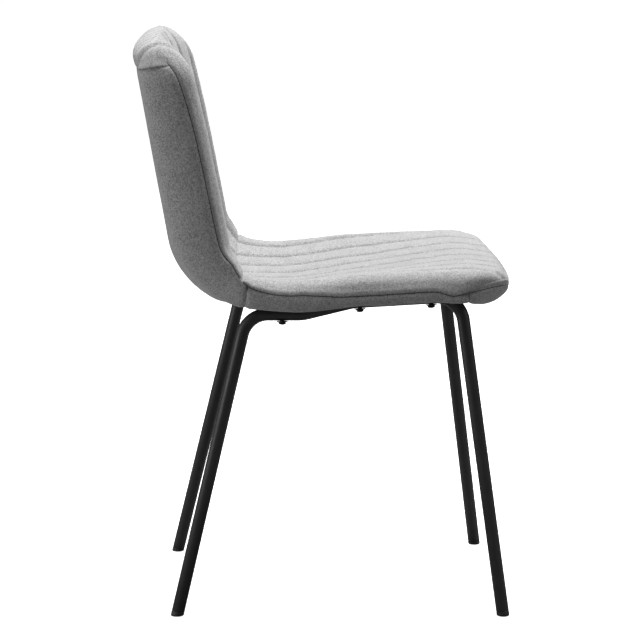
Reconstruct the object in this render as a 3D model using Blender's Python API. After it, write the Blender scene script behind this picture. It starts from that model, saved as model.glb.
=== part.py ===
"""Upholstered dining chair on two bent tube leg frames.

The chair faces -Y, stands on z = 0 and is symmetric about x = 0.  The upholstered body is one bent
slab.  A point of it is (x, b, n): x across, b along the slab from the nose of the seat to the top of the
back, and n square to the middle profile, counted from the outer (lower and rear) face towards the sitter.
"""
from collections import namedtuple
from math import atan2, cos, hypot, pi, radians, sin, sqrt, tan

import bmesh
import bpy
from mathutils import Matrix, Vector

# ---------------------------------------------------------------- driving dimensions, metres
OVERALL_HEIGHT = 0.797
OVERALL_DEPTH = 0.5245
SEAT_WIDTH = 0.444
BACK_WIDTH = 0.412
SHELL_HEIGHT = 0.4495          # outer face of the body at the crest behind the nose
BACK_RECLINE = radians(10.0)

NOSE_SETBACK = 0.0105          # start of the middle profile behind the foremost point
NOSE_RUN, NOSE_FALL, NOSE_BEND = 0.046, 0.0165, 0.10
THIGH_RUN, THIGH_FALL, THIGH_BEND = 0.165, 0.0135, 0.12
POCKET_RUN, POCKET_FALL, POCKET_BEND = 0.070, 0.0215, 0.15
HIP_FALL, HIP_BEND = 0.0015, 0.115
TOP_ROLL_HEIGHT = 0.0374       # rearmost point of the back below its top
NOSE_CORNER, TOP_CORNER = 0.060, 0.062
NOSE_BOW, BOW_REACH = 0.012, 0.15

EDGE_ROLL = 0.042              # width of the rounded border of the sitting face
RIM_RISE = 0.012               # width over which the rim turns up to the shell
DISH_WIDTH = 0.19              # half width at which the bowl depths below are reached

PLY = 0.010
PLY_INSET = 0.018
FABRIC = 0.002
UNDER_COVER = 0.001
SKIN_SPACE = 0.0032            # room under the shell for the fabric or the cover
GAP = 0.0005                   # clearance between pieces that touch
SEAM_GAP = 0.00025             # each fabric piece stops this far short of its seam

TUBE_RADIUS = 0.009
TUBE_WALL = 0.0015
FRONT_FOOT_SPACING = 0.402
REAR_FOOT_SPACING = 0.360
FRONT_FOOT_SETBACK = 0.0155    # front foot centre behind the foremost point
REAR_FOOT_INSET = 0.0560       # rear foot centre ahead of the rearmost point
FRONT_RAKE = radians(7.5)
REAR_RAKE = radians(13.5)
SPLAY = radians(7.1)
LEG_BEND = 0.037
RAIL_BEND = 0.060
BOLT_SPACINGS = (0.0985, 0.107)
RAIL_DIP = 0.0016              # the bent stretch of the rail stays this far below the shell

PLUG_COLLAR = 0.006
PLUG_SPIGOT = 0.016
PLUG_EASE = 0.0015
PLUG_CLEARANCE = 0.0003

BOLT_RADIUS = 0.003
BOLT_HEAD_RADIUS = 0.0052
BOLT_HEAD = 0.0025
HOLE_CLEARANCE = 0.0004
WASHER_RADIUS, WASHER = 0.008, 0.0012
LOCK_RADIUS, LOCK = 0.0055, 0.0010
NUT_BARREL_RADIUS, NUT_BARREL = 0.0042, 0.0075
NUT_FLANGE_RADIUS, NUT_FLANGE = 0.0095, 0.0013
NUT_RECESS = 0.0006            # flange below the face of the shell

FOAM_STEP = 0.0003             # width of the step in the foam at the shell's edge
FOAM_EASE = 0.0036             # the foam stands this far off the bands round the shell's edge

ROUND = 12                     # facets of a tube
SMALL_ROUND = 10               # facets of a fastener
BORDER_STEPS = 4               # facets across a rounded border
MIDDLE_STEPS = 6               # facets between the two borders
STRAIGHT_ROWS, BEND_ROWS = 0.052, 0.020   # spacing of the cross rows of the body
CLOSEST_ROWS = 0.0035

# Cross-sections along the body: pad at the middle, pad at its crown, seam, how far the band's rim stands
# proud of the shell, bowl of the shell and how far the band turns in below the seam.
Section = namedtuple("Section", "pad crown seam lip bowl tuck")
SECTIONS = {
    "nose": Section(0.0400, 0.0410, 0.034, 0.0150, 0.006, 0.045),
    "corner": Section(0.0350, 0.0415, 0.0065, 0.0130, 0.007, 0.012),
    "front": Section(0.0335, 0.0420, 0.015, 0.0100, 0.008, 0.012),
    "middle": Section(0.0275, 0.0445, 0.018, 0.0150, 0.015, 0.012),
    "pocket": Section(0.0365, 0.0555, 0.040, 0.0090, 0.021, 0.013),
    "rear": Section(0.0375, 0.0560, 0.041, 0.0080, 0.0225, 0.014),
    "bend": Section(0.0400, 0.0775, 0.074, 0.0055, 0.031, 0.024),
    "lumbar": Section(0.0470, 0.0808, 0.070, 0.0063, 0.017, 0.026),
    "back": Section(0.0510, 0.0800, 0.067, 0.0047, 0.013, 0.026),
    "shoulder": Section(0.0520, 0.0765, 0.058, 0.0038, 0.012, 0.026),
    "top": Section(0.0500, 0.0705, 0.038, 0.0034, 0.012, 0.022),
}
LUMBAR_HEIGHT = 0.135          # heights above the lowest point of the profile
BACK_MIDDLE_HEIGHT = 0.245
SHOULDER_DROP = 0.055          # below the top end of the profile

UNDER_COVER_END = radians(18)  # the cover stops this far round the hip bend
CROSS_SEAM = radians(12)       # so does the seat panel
BAND_SEAM_SETBACK = 0.012      # the side bands join this far ahead of the cross seam
NOSE_BAND_DEPTH = 0.046        # front band under the nose
NOSE_BAND_REACH = 0.056        # front band round the corners
CORNER_REACH = 0.075           # the nose section has become the side's this far back

FRONT_Y = -OVERALL_DEPTH / 2
FOAM_INSET = FABRIC + GAP
FIRST_BOLT = (FRONT_FOOT_SETBACK + tan(FRONT_RAKE) * (SHELL_HEIGHT - TUBE_RADIUS)
              + LEG_BEND * tan((pi / 2 - FRONT_RAKE) / 2) + WASHER_RADIUS + GAP)
# distances of the bolts behind the foremost point
RAIL_BOLTS = (FIRST_BOLT, FIRST_BOLT + BOLT_SPACINGS[0], FIRST_BOLT + sum(BOLT_SPACINGS))


# ---------------------------------------------------------------- middle profile
class Profile:
    """A polyline in (y, z) with rounded corners, measured by arc length."""

    def __init__(self, corners, radii):
        self.pieces = []
        self.length = 0.0
        start = Vector(corners[0])
        for k in range(1, len(corners) - 1):
            corner = Vector(corners[k])
            incoming = (corner - Vector(corners[k - 1])).normalized()
            outgoing = (Vector(corners[k + 1]) - corner).normalized()
            turn = atan2(incoming.cross(outgoing), incoming.dot(outgoing))
            reach = radii[k - 1] * tan(abs(turn) / 2)
            self._line(start, corner - incoming * reach)
            self._arc(corner - incoming * reach, incoming, turn, radii[k - 1])
            start = corner + outgoing * reach
        self._line(start, Vector(corners[-1]))

    def _line(self, start, end):
        direction = (end - start).normalized()
        self.pieces.append((self.length, start, direction, 0.0))
        self.length += (end - start).length

    def _arc(self, start, direction, turn, radius):
        curvature = (1 if turn > 0 else -1) / radius
        self.pieces.append((self.length, start, direction, curvature))
        self.length += abs(turn) * radius

    def at(self, distance):
        """Place and direction at a distance along the profile; straight on past both ends."""
        piece = self.pieces[0]
        for candidate in self.pieces:
            if candidate[0] <= distance:
                piece = candidate
        run = distance - piece[0]
        start, direction, curvature = piece[1:]
        left = Vector((-direction.y, direction.x))
        if curvature == 0.0:
            return start + direction * run, direction
        angle = run * curvature
        place = start + (direction * sin(angle) + left * (1 - cos(angle))) / curvature
        return place, direction * cos(angle) + left * sin(angle)

    def find(self, axis, value):
        """Distance at which one coordinate reaches a value, for a coordinate that only grows."""
        low, high = 0.0, self.length
        for _ in range(50):
            middle = (low + high) / 2
            if self.at(middle)[0][axis] < value:
                low = middle
            else:
                high = middle
        return (low + high) / 2


def body_profile():
    nose = Vector((FRONT_Y + NOSE_SETBACK, SHELL_HEIGHT - NOSE_FALL))
    crest = nose + Vector((NOSE_RUN, NOSE_FALL))
    thigh = crest + Vector((THIGH_RUN, -THIGH_FALL))
    pocket = thigh + Vector((POCKET_RUN, -POCKET_FALL))
    base = pocket.y - HIP_FALL
    lean = tan(BACK_RECLINE)
    end_height = OVERALL_HEIGHT - SECTIONS["top"].seam * sin(BACK_RECLINE)
    rearmost = OVERALL_DEPTH / 2 - SECTIONS["top"].lip / cos(BACK_RECLINE)
    hip = Vector((rearmost - lean * (OVERALL_HEIGHT - TOP_ROLL_HEIGHT - base), base))
    end = Vector((hip.x + lean * (end_height - base), end_height))
    return Profile([nose, crest, thigh, pocket, hip, end],
                   [NOSE_BEND, THIGH_BEND, POCKET_BEND, HIP_BEND])


BODY = body_profile()
LENGTH = BODY.length
HIP_START, HIP_LENGTH = BODY.pieces[7][0], BODY.pieces[8][0] - BODY.pieces[7][0]
BASE_HEIGHT = SHELL_HEIGHT - THIGH_FALL - POCKET_FALL - HIP_FALL
STATIONS = [
    (0.0, SECTIONS["nose"]),
    (CORNER_REACH, SECTIONS["corner"]),
    (BODY.find(0, FRONT_Y + RAIL_BOLTS[0]), SECTIONS["front"]),
    (BODY.find(0, FRONT_Y + RAIL_BOLTS[1]), SECTIONS["middle"]),
    (BODY.find(0, FRONT_Y + NOSE_SETBACK + NOSE_RUN + THIGH_RUN + POCKET_RUN), SECTIONS["pocket"]),
    (BODY.find(0, FRONT_Y + RAIL_BOLTS[2]), SECTIONS["rear"]),
    (HIP_START + 0.55 * HIP_LENGTH, SECTIONS["bend"]),
    (LENGTH - (OVERALL_HEIGHT - BASE_HEIGHT - LUMBAR_HEIGHT) / cos(BACK_RECLINE), SECTIONS["lumbar"]),
    (LENGTH - (OVERALL_HEIGHT - BASE_HEIGHT - BACK_MIDDLE_HEIGHT) / cos(BACK_RECLINE), SECTIONS["back"]),
    (LENGTH - SHOULDER_DROP, SECTIONS["shoulder"]),
    (LENGTH, SECTIONS["top"]),
]


def section(b):
    """The cross-section at b, on a smooth curve through the named ones."""
    places = [place for place, _ in STATIONS]
    values = [value for _, value in STATIONS]
    if b <= places[0]:
        return values[0]
    if b >= places[-1]:
        return values[-1]
    k = max(i for i in range(len(places) - 1) if places[i] <= b)
    span = places[k + 1] - places[k]
    t = (b - places[k]) / span

    def slope(i, field):
        if i in (0, len(places) - 1):
            return 0.0
        before = (values[i][field] - values[i - 1][field]) / (places[i] - places[i - 1])
        after = (values[i + 1][field] - values[i][field]) / (places[i + 1] - places[i])
        if before * after <= 0:
            return 0.0
        return 2 * before * after / (before + after)

    fields = []
    for field in range(len(Section._fields)):
        p0, p1 = values[k][field], values[k + 1][field]
        m0, m1 = slope(k, field) * span, slope(k + 1, field) * span
        fields.append((2 * t**3 - 3 * t**2 + 1) * p0 + (t**3 - 2 * t**2 + t) * m0
                      + (3 * t**2 - 2 * t**3) * p1 + (t**3 - t**2) * m1)
    return Section(*fields)


# ---------------------------------------------------------------- the body's outer form
def smooth(t):
    t = min(1.0, max(0.0, t))
    return t * t * (3 - 2 * t)


def full_half_width(b):
    """Half width between the corners: the seat's, easing into the back's round the hip."""
    start = BODY.find(0, FRONT_Y + RAIL_BOLTS[1])
    end = HIP_START + HIP_LENGTH
    return (SEAT_WIDTH + (BACK_WIDTH - SEAT_WIDTH) * smooth((b - start) / (end - start))) / 2


def corner_radius(b):
    return NOSE_CORNER if b < LENGTH / 2 else TOP_CORNER


def half_width(b, inset=0.0):
    """Half width of the outline moved inwards by inset."""
    radius = corner_radius(b)
    past = abs(b - LENGTH / 2) - (LENGTH / 2 - radius)
    if past <= 0:
        return full_half_width(b) - inset
    return full_half_width(b) - radius + sqrt(max(0.0, (radius - inset) ** 2 - past**2))


def edge_distance(x, b):
    """Distance of a point of the body from its outline."""
    radius = corner_radius(b)
    across = abs(x) - (full_half_width(b) - radius)
    along = abs(b - LENGTH / 2) - (LENGTH / 2 - radius)
    outside = hypot(max(across, 0.0), max(along, 0.0))
    return radius - outside - min(max(across, along), 0.0)


def bowl(x, b):
    return section(b).bowl * (x / DISH_WIDTH) ** 2


def crown_line(x, b):
    """The sitting face without its rounded border."""
    here = section(b)
    reach = full_half_width(b) - EDGE_ROLL
    return here.pad + (here.crown - here.pad) * (min(abs(x), reach * 1.1) / reach) ** 2


def sitting_face(x, b, inset):
    """Height n of the sitting face, moved inwards by inset."""
    here = section(b)
    distance = max(edge_distance(x, b), inset)
    top = crown_line(x, b)
    drop = top - here.seam
    if distance >= EDGE_ROLL:
        return top - inset
    lean = (EDGE_ROLL - distance) / (EDGE_ROLL - inset)
    return here.seam + (drop - inset) * sqrt(max(0.0, 1 - lean**2))


def outer_face(x, b, inset):
    """Height n of the lower and rear face, moved inwards by inset."""
    here = section(b)
    distance = max(edge_distance(x, b), inset)
    shell = bowl(x, b)
    if distance < here.tuck:
        lean = (here.tuck - distance) / (here.tuck - inset)
        return here.seam - (here.seam - shell + here.lip - inset) * sqrt(max(0.0, 1 - lean**2))
    return shell - here.lip * (1 - smooth((distance - here.tuck) / RIM_RISE)) + inset


def place(x, b, n):
    """World position of a point of the body."""
    bow = NOSE_BOW * (x / full_half_width(b)) ** 2 * max(0.0, 1 - b / BOW_REACH) ** 2
    point, direction = BODY.at(b + bow)
    return Vector((x, point.x - n * direction.y, point.y + n * direction.x))


# ---------------------------------------------------------------- rows and columns of the body
def body_rows():
    """Distances b of the cross rows, with the ones that seams lie on."""
    cross = HIP_START + CROSS_SEAM / (pi / 2 - BACK_RECLINE) * HIP_LENGTH
    marks = {
        "nose_band": NOSE_BAND_DEPTH,
        "nose_seam": NOSE_BAND_REACH,
        "band_seam": cross - BAND_SEAM_SETBACK,
        "cross": cross,
        "cover_end": HIP_START + UNDER_COVER_END / (pi / 2 - BACK_RECLINE) * HIP_LENGTH,
        "wrap": LENGTH - SECTIONS["top"].tuck - RIM_RISE,
    }
    rows = [NOSE_CORNER * (1 - cos(pi / 2 * k / BORDER_STEPS)) for k in range(BORDER_STEPS)]
    rows += [LENGTH - TOP_CORNER * (1 - cos(pi / 2 * k / BORDER_STEPS)) for k in range(BORDER_STEPS)]
    ends = [piece[0] for piece in BODY.pieces[1:]] + [LENGTH]
    for k, piece in enumerate(BODY.pieces):
        spacing = STRAIGHT_ROWS if piece[3] == 0.0 else BEND_ROWS
        count = max(1, round((ends[k] - piece[0]) / spacing))
        rows += [piece[0] + (ends[k] - piece[0]) * step / count for step in range(count)]
    kept = sorted(marks.values()) + [0.0, LENGTH]
    for row in rows:
        if min(abs(row - other) for other in kept) > CLOSEST_ROWS:
            kept.append(row)
    kept.sort()
    return kept, {name: kept.index(value) for name, value in marks.items()}


ROWS, MARK = body_rows()
LAST_ROW = len(ROWS) - 1
LAST_COLUMN = 2 * BORDER_STEPS + MIDDLE_STEPS
BAND_COLUMN = BORDER_STEPS     # fabric bands end at this column of the outer face


def row_place(nominal, inset):
    """Distance b of a row on a surface that is moved inwards by inset."""
    from_nose = max(0.0, 1 - nominal / NOSE_CORNER)
    from_top = max(0.0, 1 - (LENGTH - nominal) / TOP_CORNER)
    return nominal + inset * (from_nose - from_top)


def border_offsets(b, side, inset):
    """Distances from the outline of the columns in a border, the outline first."""
    if side == "top":
        turns = [pi / 2 * k / BORDER_STEPS for k in range(BORDER_STEPS + 1)]
        return [EDGE_ROLL - (EDGE_ROLL - inset) * cos(turn) for turn in turns]
    tuck = section(b).tuck
    turned = BORDER_STEPS - 1
    turns = [pi / 2 * k / turned for k in range(turned + 1)]
    return [tuck - (tuck - inset) * cos(turn) for turn in turns] + [tuck + RIM_RISE]


def row_for(b, inset):
    """The row that lies at b on a surface moved inwards by inset."""
    if b < LENGTH / 2:
        return (b - inset) / (1 - inset / NOSE_CORNER)
    return LENGTH - (LENGTH - b - inset) / (1 - inset / TOP_CORNER)


def is_end(nominal):
    return nominal <= 0.0 or nominal >= LENGTH


def mirrored_column(j, border_places):
    """Cross place x of column j, given the places of the border columns from the outline inwards."""
    k = min(j, LAST_COLUMN - j)
    if k <= BORDER_STEPS:
        x = border_places[k]
    else:
        x = border_places[-1] * (1 - (k - BORDER_STEPS) / (MIDDLE_STEPS / 2))
    return x if j > LAST_COLUMN / 2 else -x


def column_place(nominal, j, side, inset):
    """Cross place x of a column on a row of the body."""
    b = row_place(nominal, inset)
    offsets = border_offsets(b, "top" if is_end(nominal) else side, inset)
    outline = half_width(b, inset)
    narrowing = outline / (full_half_width(b) - inset)
    return mirrored_column(j, [outline - (offset - inset) * narrowing for offset in offsets])


def body_point(side, i, j, inset=0.0):
    """Grid point of the sitting face ("top") or of the outer face ("bottom")."""
    b = row_place(ROWS[i], inset)
    x = column_place(ROWS[i], j, side, inset)
    if is_end(ROWS[i]) or j in (0, LAST_COLUMN):
        return place(x, b, section(b).seam)
    face = sitting_face if side == "top" else outer_face
    return place(x, b, face(x, b, inset))


def body_key(side, i, j):
    """The two faces share the points of their outline."""
    on_outline = i in (0, LAST_ROW) or j in (0, LAST_COLUMN)
    return ("outline" if on_outline else side, i, j)


# ---------------------------------------------------------------- objects and materials
def material(name, colour, roughness, metallic=0.0):
    result = bpy.data.materials.get(name) or bpy.data.materials.new(name)
    result.use_nodes = True
    shader = result.node_tree.nodes["Principled BSDF"]
    shader.inputs["Base Color"].default_value = (*colour, 1.0)
    shader.inputs["Roughness"].default_value = roughness
    shader.inputs["Metallic"].default_value = metallic
    return result


def fabric_material(name):
    return material(name, (0.30, 0.30, 0.305), 0.92)


def grid_triangles(a, b, c, d):
    """Two triangles of a cell a, b, c, d, always split from a to c so that layers nest."""
    return [face for face in ((a, b, c), (a, c, d)) if len(set(face)) == 3]


def add_object(name, points, faces, surface, smooth_angle=None):
    mesh = bpy.data.meshes.new(name)
    mesh.from_pydata([tuple(point) for point in points], [], faces)
    built = bmesh.new()
    built.from_mesh(mesh)
    bmesh.ops.recalc_face_normals(built, faces=built.faces)
    if built.calc_volume(signed=True) < 0:
        bmesh.ops.reverse_faces(built, faces=built.faces)
    built.to_mesh(mesh)
    built.free()
    mesh.materials.append(surface)
    if smooth_angle is not None:
        mesh.shade_smooth()
        mesh.set_sharp_from_angle(angle=smooth_angle)
    made = bpy.data.objects.new(name, mesh)
    bpy.context.scene.collection.objects.link(made)
    return made


def turned(name, rings, surface, start, axis, sides=SMALL_ROUND):
    """A closed turned piece: rings of (radius, height) in order round its section.

    A radius of 0 at the first and last ring closes a solid piece at its axis; a bored piece has none.
    """
    turn = Vector((0, 0, 1)).rotation_difference(axis).to_matrix()
    points, loops, faces = [], [], []
    for radius, height in rings:
        if radius == 0:
            loops.append([len(points)])
            points.append(start + turn @ Vector((0, 0, height)))
            continue
        loops.append(list(range(len(points), len(points) + sides)))
        for k in range(sides):
            angle = pi / 2 + 2 * pi * k / sides
            points.append(start + turn @ Vector((radius * cos(angle), radius * sin(angle), height)))
    pairs = list(zip(loops, loops[1:]))
    if len(loops[0]) > 1:
        pairs.append((loops[-1], loops[0]))
    for low, high in pairs:
        for k in range(sides):
            corners = [low[k % len(low)], low[(k + 1) % len(low)], high[(k + 1) % len(high)], high[k % len(high)]]
            face = list(dict.fromkeys(corners))
            faces.append(face)
    return add_object(name, points, faces, surface, radians(35))


def cut(target, cutters, name):
    """Cut a group of cylinders (start, axis, radius, length) out of a piece."""
    built = bmesh.new()
    for start, axis, radius, length in cutters:
        turn = Vector((0, 0, 1)).rotation_difference(axis).to_matrix().to_4x4()
        matrix = Matrix.Translation(start + axis * length / 2) @ turn
        bmesh.ops.create_cone(built, cap_ends=True, segments=SMALL_ROUND, radius1=radius, radius2=radius,
                              depth=length, matrix=matrix)
    mesh = bpy.data.meshes.new(name)
    built.to_mesh(mesh)
    built.free()
    cutter = bpy.data.objects.new(name, mesh)
    bpy.context.scene.collection.objects.link(cutter)
    cutter.hide_render = True
    cutter.display_type = "WIRE"
    modifier = target.modifiers.new(name, "BOOLEAN")
    modifier.operation = "DIFFERENCE"
    modifier.solver = "EXACT"
    modifier.object = cutter


# ---------------------------------------------------------------- leg frames
def frame_x(y, z):
    """Half distance between the two leg frames, whose planes lean out towards the floor."""
    front = FRONT_Y + FRONT_FOOT_SETBACK
    wheelbase = OVERALL_DEPTH - FRONT_FOOT_SETBACK - REAR_FOOT_INSET
    toe = (REAR_FOOT_SPACING - FRONT_FOOT_SPACING) / 2 / wheelbase
    return FRONT_FOOT_SPACING / 2 + toe * (y - front) - tan(SPLAY) * z


def rail_height(y):
    """Height of a rail's centre where it bears on the body at y."""
    b = BODY.find(0, y)
    point, direction = BODY.at(b)
    x = frame_x(y, point.y - TUBE_RADIUS)
    along = direction.y / direction.x
    across = 2 * section(b).bowl * x / DISH_WIDTH**2
    surface = point.y + bowl(x, b) / direction.x
    return surface - (TUBE_RADIUS + GAP) * sqrt(1 + along**2 + across**2)


def frame_profile():
    """Centre line of a leg frame in (y, z), from the front foot to the rear foot."""
    bolts = [FRONT_Y + distance for distance in RAIL_BOLTS]
    heights = [rail_height(y) for y in bolts]
    slope = (heights[1] - heights[0]) / (bolts[1] - bolts[0])
    front_foot = Vector((FRONT_Y + FRONT_FOOT_SETBACK, 0.0))
    rear_foot = Vector((OVERALL_DEPTH / 2 - REAR_FOOT_INSET, 0.0))
    rise = (heights[0] + slope * (front_foot.x - bolts[0])) / (1 - slope * tan(FRONT_RAKE))
    front_corner = front_foot + Vector((tan(FRONT_RAKE), 1.0)) * rise
    rear_corner = rear_foot + Vector((-tan(REAR_RAKE), 1.0)) * heights[2]
    thigh_y = FRONT_Y + NOSE_SETBACK + NOSE_RUN + THIGH_RUN
    upper = Vector((thigh_y, heights[1] + slope * (thigh_y - bolts[1]) - RAIL_DIP))
    lower = Vector((thigh_y + POCKET_RUN, heights[2]))
    return Profile([front_foot, front_corner, upper, lower, rear_corner, rear_foot],
                   [LEG_BEND, RAIL_BEND, RAIL_BEND, LEG_BEND])


FRAME = frame_profile()


def frame_point(y, z, side):
    return Vector((side * frame_x(y, z), y, z))


def frame_direction(direction, side):
    """A direction of the flat centre line, turned into the leaning plane of the frame."""
    start = frame_point(0.0, 0.0, side)
    return (frame_point(direction.x, direction.y, side) - start).normalized()


def leg_frame(side, name, surface):
    """A bent tube with open ends."""
    from_floor = PLUG_COLLAR / cos(SPLAY)
    distances = [from_floor, FRAME.length - from_floor]
    for k, piece in enumerate(FRAME.pieces[1:], start=1):
        distances.append(piece[0])
        if piece[3] != 0.0:
            length = FRAME.pieces[k + 1][0] - piece[0]
            steps = max(2, round(length * abs(piece[3]) / radians(14)))
            distances += [piece[0] + length * step / steps for step in range(1, steps)]
    square = (frame_direction(Vector((1, 0)), side)).cross(frame_direction(Vector((0, 1)), side)).normalized()
    points, faces = [], []
    for distance in sorted(distances):
        centre, direction = FRAME.at(distance)
        along = frame_direction(direction, side)
        normal = square.cross(along).normalized()
        middle = frame_point(centre.x, centre.y, side)
        for radius in (TUBE_RADIUS, TUBE_RADIUS - TUBE_WALL):
            for k in range(ROUND):
                angle = 2 * pi * k / ROUND
                points.append(middle + (square * cos(angle) + normal * sin(angle)) * radius)
    rings = len(distances)
    for r in range(rings - 1):
        low, high = r * 2 * ROUND, (r + 1) * 2 * ROUND
        for k in range(ROUND):
            after = (k + 1) % ROUND
            faces.append((low + k, low + after, high + after, high + k))
            faces.append((low + ROUND + after, low + ROUND + k, high + ROUND + k, high + ROUND + after))
    for base in (0, (rings - 1) * 2 * ROUND):
        for k in range(ROUND):
            after = (k + 1) % ROUND
            faces.append((base + k, base + after, base + ROUND + after, base + ROUND + k))
    return add_object(name, points, faces, surface, radians(35))


def foot_plug(side, end, name, surface):
    """A plug with a spigot in the tube, a collar and an eased flat base on the floor."""
    distance = 0.0 if end == "front" else FRAME.length
    centre, direction = FRAME.at(distance)
    axis = frame_direction(direction, side) * (1 if end == "front" else -1)
    foot = frame_point(centre.x, centre.y, side)
    turn = Vector((0, 0, 1)).rotation_difference(axis).to_matrix()
    collar = PLUG_COLLAR / cos(SPLAY) - PLUG_CLEARANCE
    spigot = TUBE_RADIUS - TUBE_WALL - PLUG_CLEARANCE
    # (radius, distance up the axis, share of the ring that lies level with the floor)
    rings = [
        (TUBE_RADIUS - PLUG_EASE, 0.0, 1.0),
        (TUBE_RADIUS - 0.3 * PLUG_EASE, 0.35 * PLUG_EASE, 1.0),
        (TUBE_RADIUS, PLUG_EASE, 1.0),
        (TUBE_RADIUS, collar, 0.0),
        (spigot, collar, 0.0),
        (spigot, PLUG_SPIGOT, 0.0),
        (spigot - PLUG_EASE, PLUG_SPIGOT + PLUG_EASE, 0.0),
    ]
    points, faces = [], []
    for radius, height, level in rings:
        for k in range(ROUND):
            angle = 2 * pi * k / ROUND
            around = turn @ Vector((radius * cos(angle), radius * sin(angle), 0.0))
            points.append(foot + axis * height + around - axis * (around.z / axis.z) * level)
    for r in range(len(rings) - 1):
        for k in range(ROUND):
            after = (k + 1) % ROUND
            faces.append((r * ROUND + k, r * ROUND + after, (r + 1) * ROUND + after, (r + 1) * ROUND + k))
    faces.append(tuple(range(ROUND)))
    faces.append(tuple(range((len(rings) - 1) * ROUND, len(rings) * ROUND)))
    return add_object(name, points, faces, surface, radians(35))


# ---------------------------------------------------------------- fasteners
def bolt_axes(side):
    """Centre of the rail and upward axis at each bolt."""
    places = []
    for offset in RAIL_BOLTS:
        y = FRONT_Y + offset
        distance = FRAME.find(0, y)
        centre, direction = FRAME.at(distance)
        places.append((frame_point(centre.x, centre.y, side),
                       frame_direction(Vector((-direction.y, direction.x)), side)))
    return places


def shell_top_along(start, axis):
    """Distance from start, along axis, to the sitting side of the plywood."""
    low, high = 0.0, 0.08
    for _ in range(40):
        middle = (low + high) / 2
        point = start + axis * middle
        b = BODY.find(0, point.y)
        surface = place(point.x, b, bowl(point.x, b) + SKIN_SPACE + PLY)
        if point.z < surface.z:
            low = middle
        else:
            high = middle
    return (low + high) / 2


def fasteners(side, label, steel, zinc):
    """Bolt, washers and tee nut of each place on one rail; returns the holes they need."""
    tube_holes, cover_holes, barrel_holes, flange_holes = [], [], [], []
    for number, (centre, axis) in enumerate(bolt_axes(side), start=1):
        tag = f"{label}_{number}"
        below = centre - axis * (TUBE_RADIUS + GAP)
        washer = below - axis * WASHER
        lock = washer - axis * (LOCK + PLUG_CLEARANCE)
        head = lock - axis * PLUG_CLEARANCE
        top = shell_top_along(head, axis) - NUT_RECESS
        bore = BOLT_RADIUS + HOLE_CLEARANCE
        turned(f"flat_washer_{tag}", [(bore, 0), (WASHER_RADIUS, 0), (WASHER_RADIUS, WASHER), (bore, WASHER)],
               zinc, washer, axis)
        turned(f"lock_washer_{tag}", [(bore, 0), (LOCK_RADIUS, 0), (LOCK_RADIUS, LOCK), (bore, LOCK)],
               zinc, lock, axis)
        turned(f"bolt_{tag}",
               [(0, -BOLT_HEAD), (0.55 * BOLT_HEAD_RADIUS, -BOLT_HEAD), (0.9 * BOLT_HEAD_RADIUS, -0.6 * BOLT_HEAD),
                (BOLT_HEAD_RADIUS, 0), (BOLT_RADIUS, 0), (BOLT_RADIUS, top - NUT_FLANGE / 2),
                (0, top - NUT_FLANGE / 2)],
               steel, head, axis)
        nut = head + axis * top
        turned(f"tee_nut_{tag}",
               [(bore, 0), (NUT_FLANGE_RADIUS, 0), (NUT_FLANGE_RADIUS, -NUT_FLANGE),
                (NUT_BARREL_RADIUS, -NUT_FLANGE), (NUT_BARREL_RADIUS, -NUT_BARREL), (bore, -NUT_BARREL)],
               zinc, nut, axis)
        tube_holes.append((centre - axis * 0.02, axis, bore, 0.04))
        cover_holes.append((centre, axis, bore + HOLE_CLEARANCE, 0.02))
        barrel = NUT_BARREL_RADIUS + HOLE_CLEARANCE
        barrel_holes.append((nut - axis * 0.03, axis, barrel, 0.05))
        flange_holes.append((nut - axis * (NUT_FLANGE + GAP), axis, NUT_FLANGE_RADIUS + HOLE_CLEARANCE, 0.02))
    return tube_holes, cover_holes, barrel_holes, flange_holes


# ---------------------------------------------------------------- shell, pads and fabric
def shell_column(b):
    """Half width of the outermost column that the shell and the pads on it share."""
    return min(half_width(b, PLY_INSET + RIM_RISE), half_width(b, PLY_INSET) - 2 * FOAM_STEP)


def plywood_shell(surface):
    """The moulded sheet: rows and columns of the pads on it, between its insets from the outline."""
    first, last = PLY_INSET, LENGTH - PLY_INSET
    places = [row_place(nominal, FOAM_INSET) for nominal in ROWS]
    rows = [first] + [b for b in places if first + 0.004 < b < last - 0.004] + [last]
    columns = MIDDLE_STEPS + 2
    points, faces = [], []
    for face_height in (SKIN_SPACE, SKIN_SPACE + PLY):
        for b in rows:
            wide = half_width(b, PLY_INSET)
            inner = shell_column(b)
            across = [-wide] + [inner * (2 * j / MIDDLE_STEPS - 1) for j in range(MIDDLE_STEPS + 1)] + [wide]
            points += [place(x, b, bowl(x, b) + face_height) for x in across]
    width, sheet = columns + 1, (columns + 1) * len(rows)
    for i in range(len(rows) - 1):
        for j in range(columns):
            corner = i * width + j
            for face in grid_triangles(corner, corner + 1, corner + width + 1, corner + width):
                faces.append(face)
                faces.append(tuple(sheet + k for k in reversed(face)))
    border = ([j for j in range(width)] + [i * width + columns for i in range(1, len(rows))]
              + [(len(rows) - 1) * width + j for j in range(columns - 1, -1, -1)]
              + [i * width for i in range(len(rows) - 2, 0, -1)])
    for k, corner in enumerate(border):
        after = border[(k + 1) % len(border)]
        faces.append((after, corner, sheet + corner, sheet + after))
    return add_object("plywood_shell", points, faces, surface, radians(35))


def foam_rows(first, last):
    """Rows of a pad, with a pair where the foam steps round the end of the shell."""
    edge = PLY_INSET - GAP
    places = [edge, edge + FOAM_STEP, LENGTH - edge - FOAM_STEP, LENGTH - edge]
    steps = [row_for(b, FOAM_INSET) for b in places]
    steps = [row for row in steps if ROWS[first] < row < ROWS[last]]
    rows = [row for row in ROWS[first:last + 1] if min(abs(row - step) for step in steps) > FOAM_STEP]
    return sorted(rows + steps)


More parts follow.
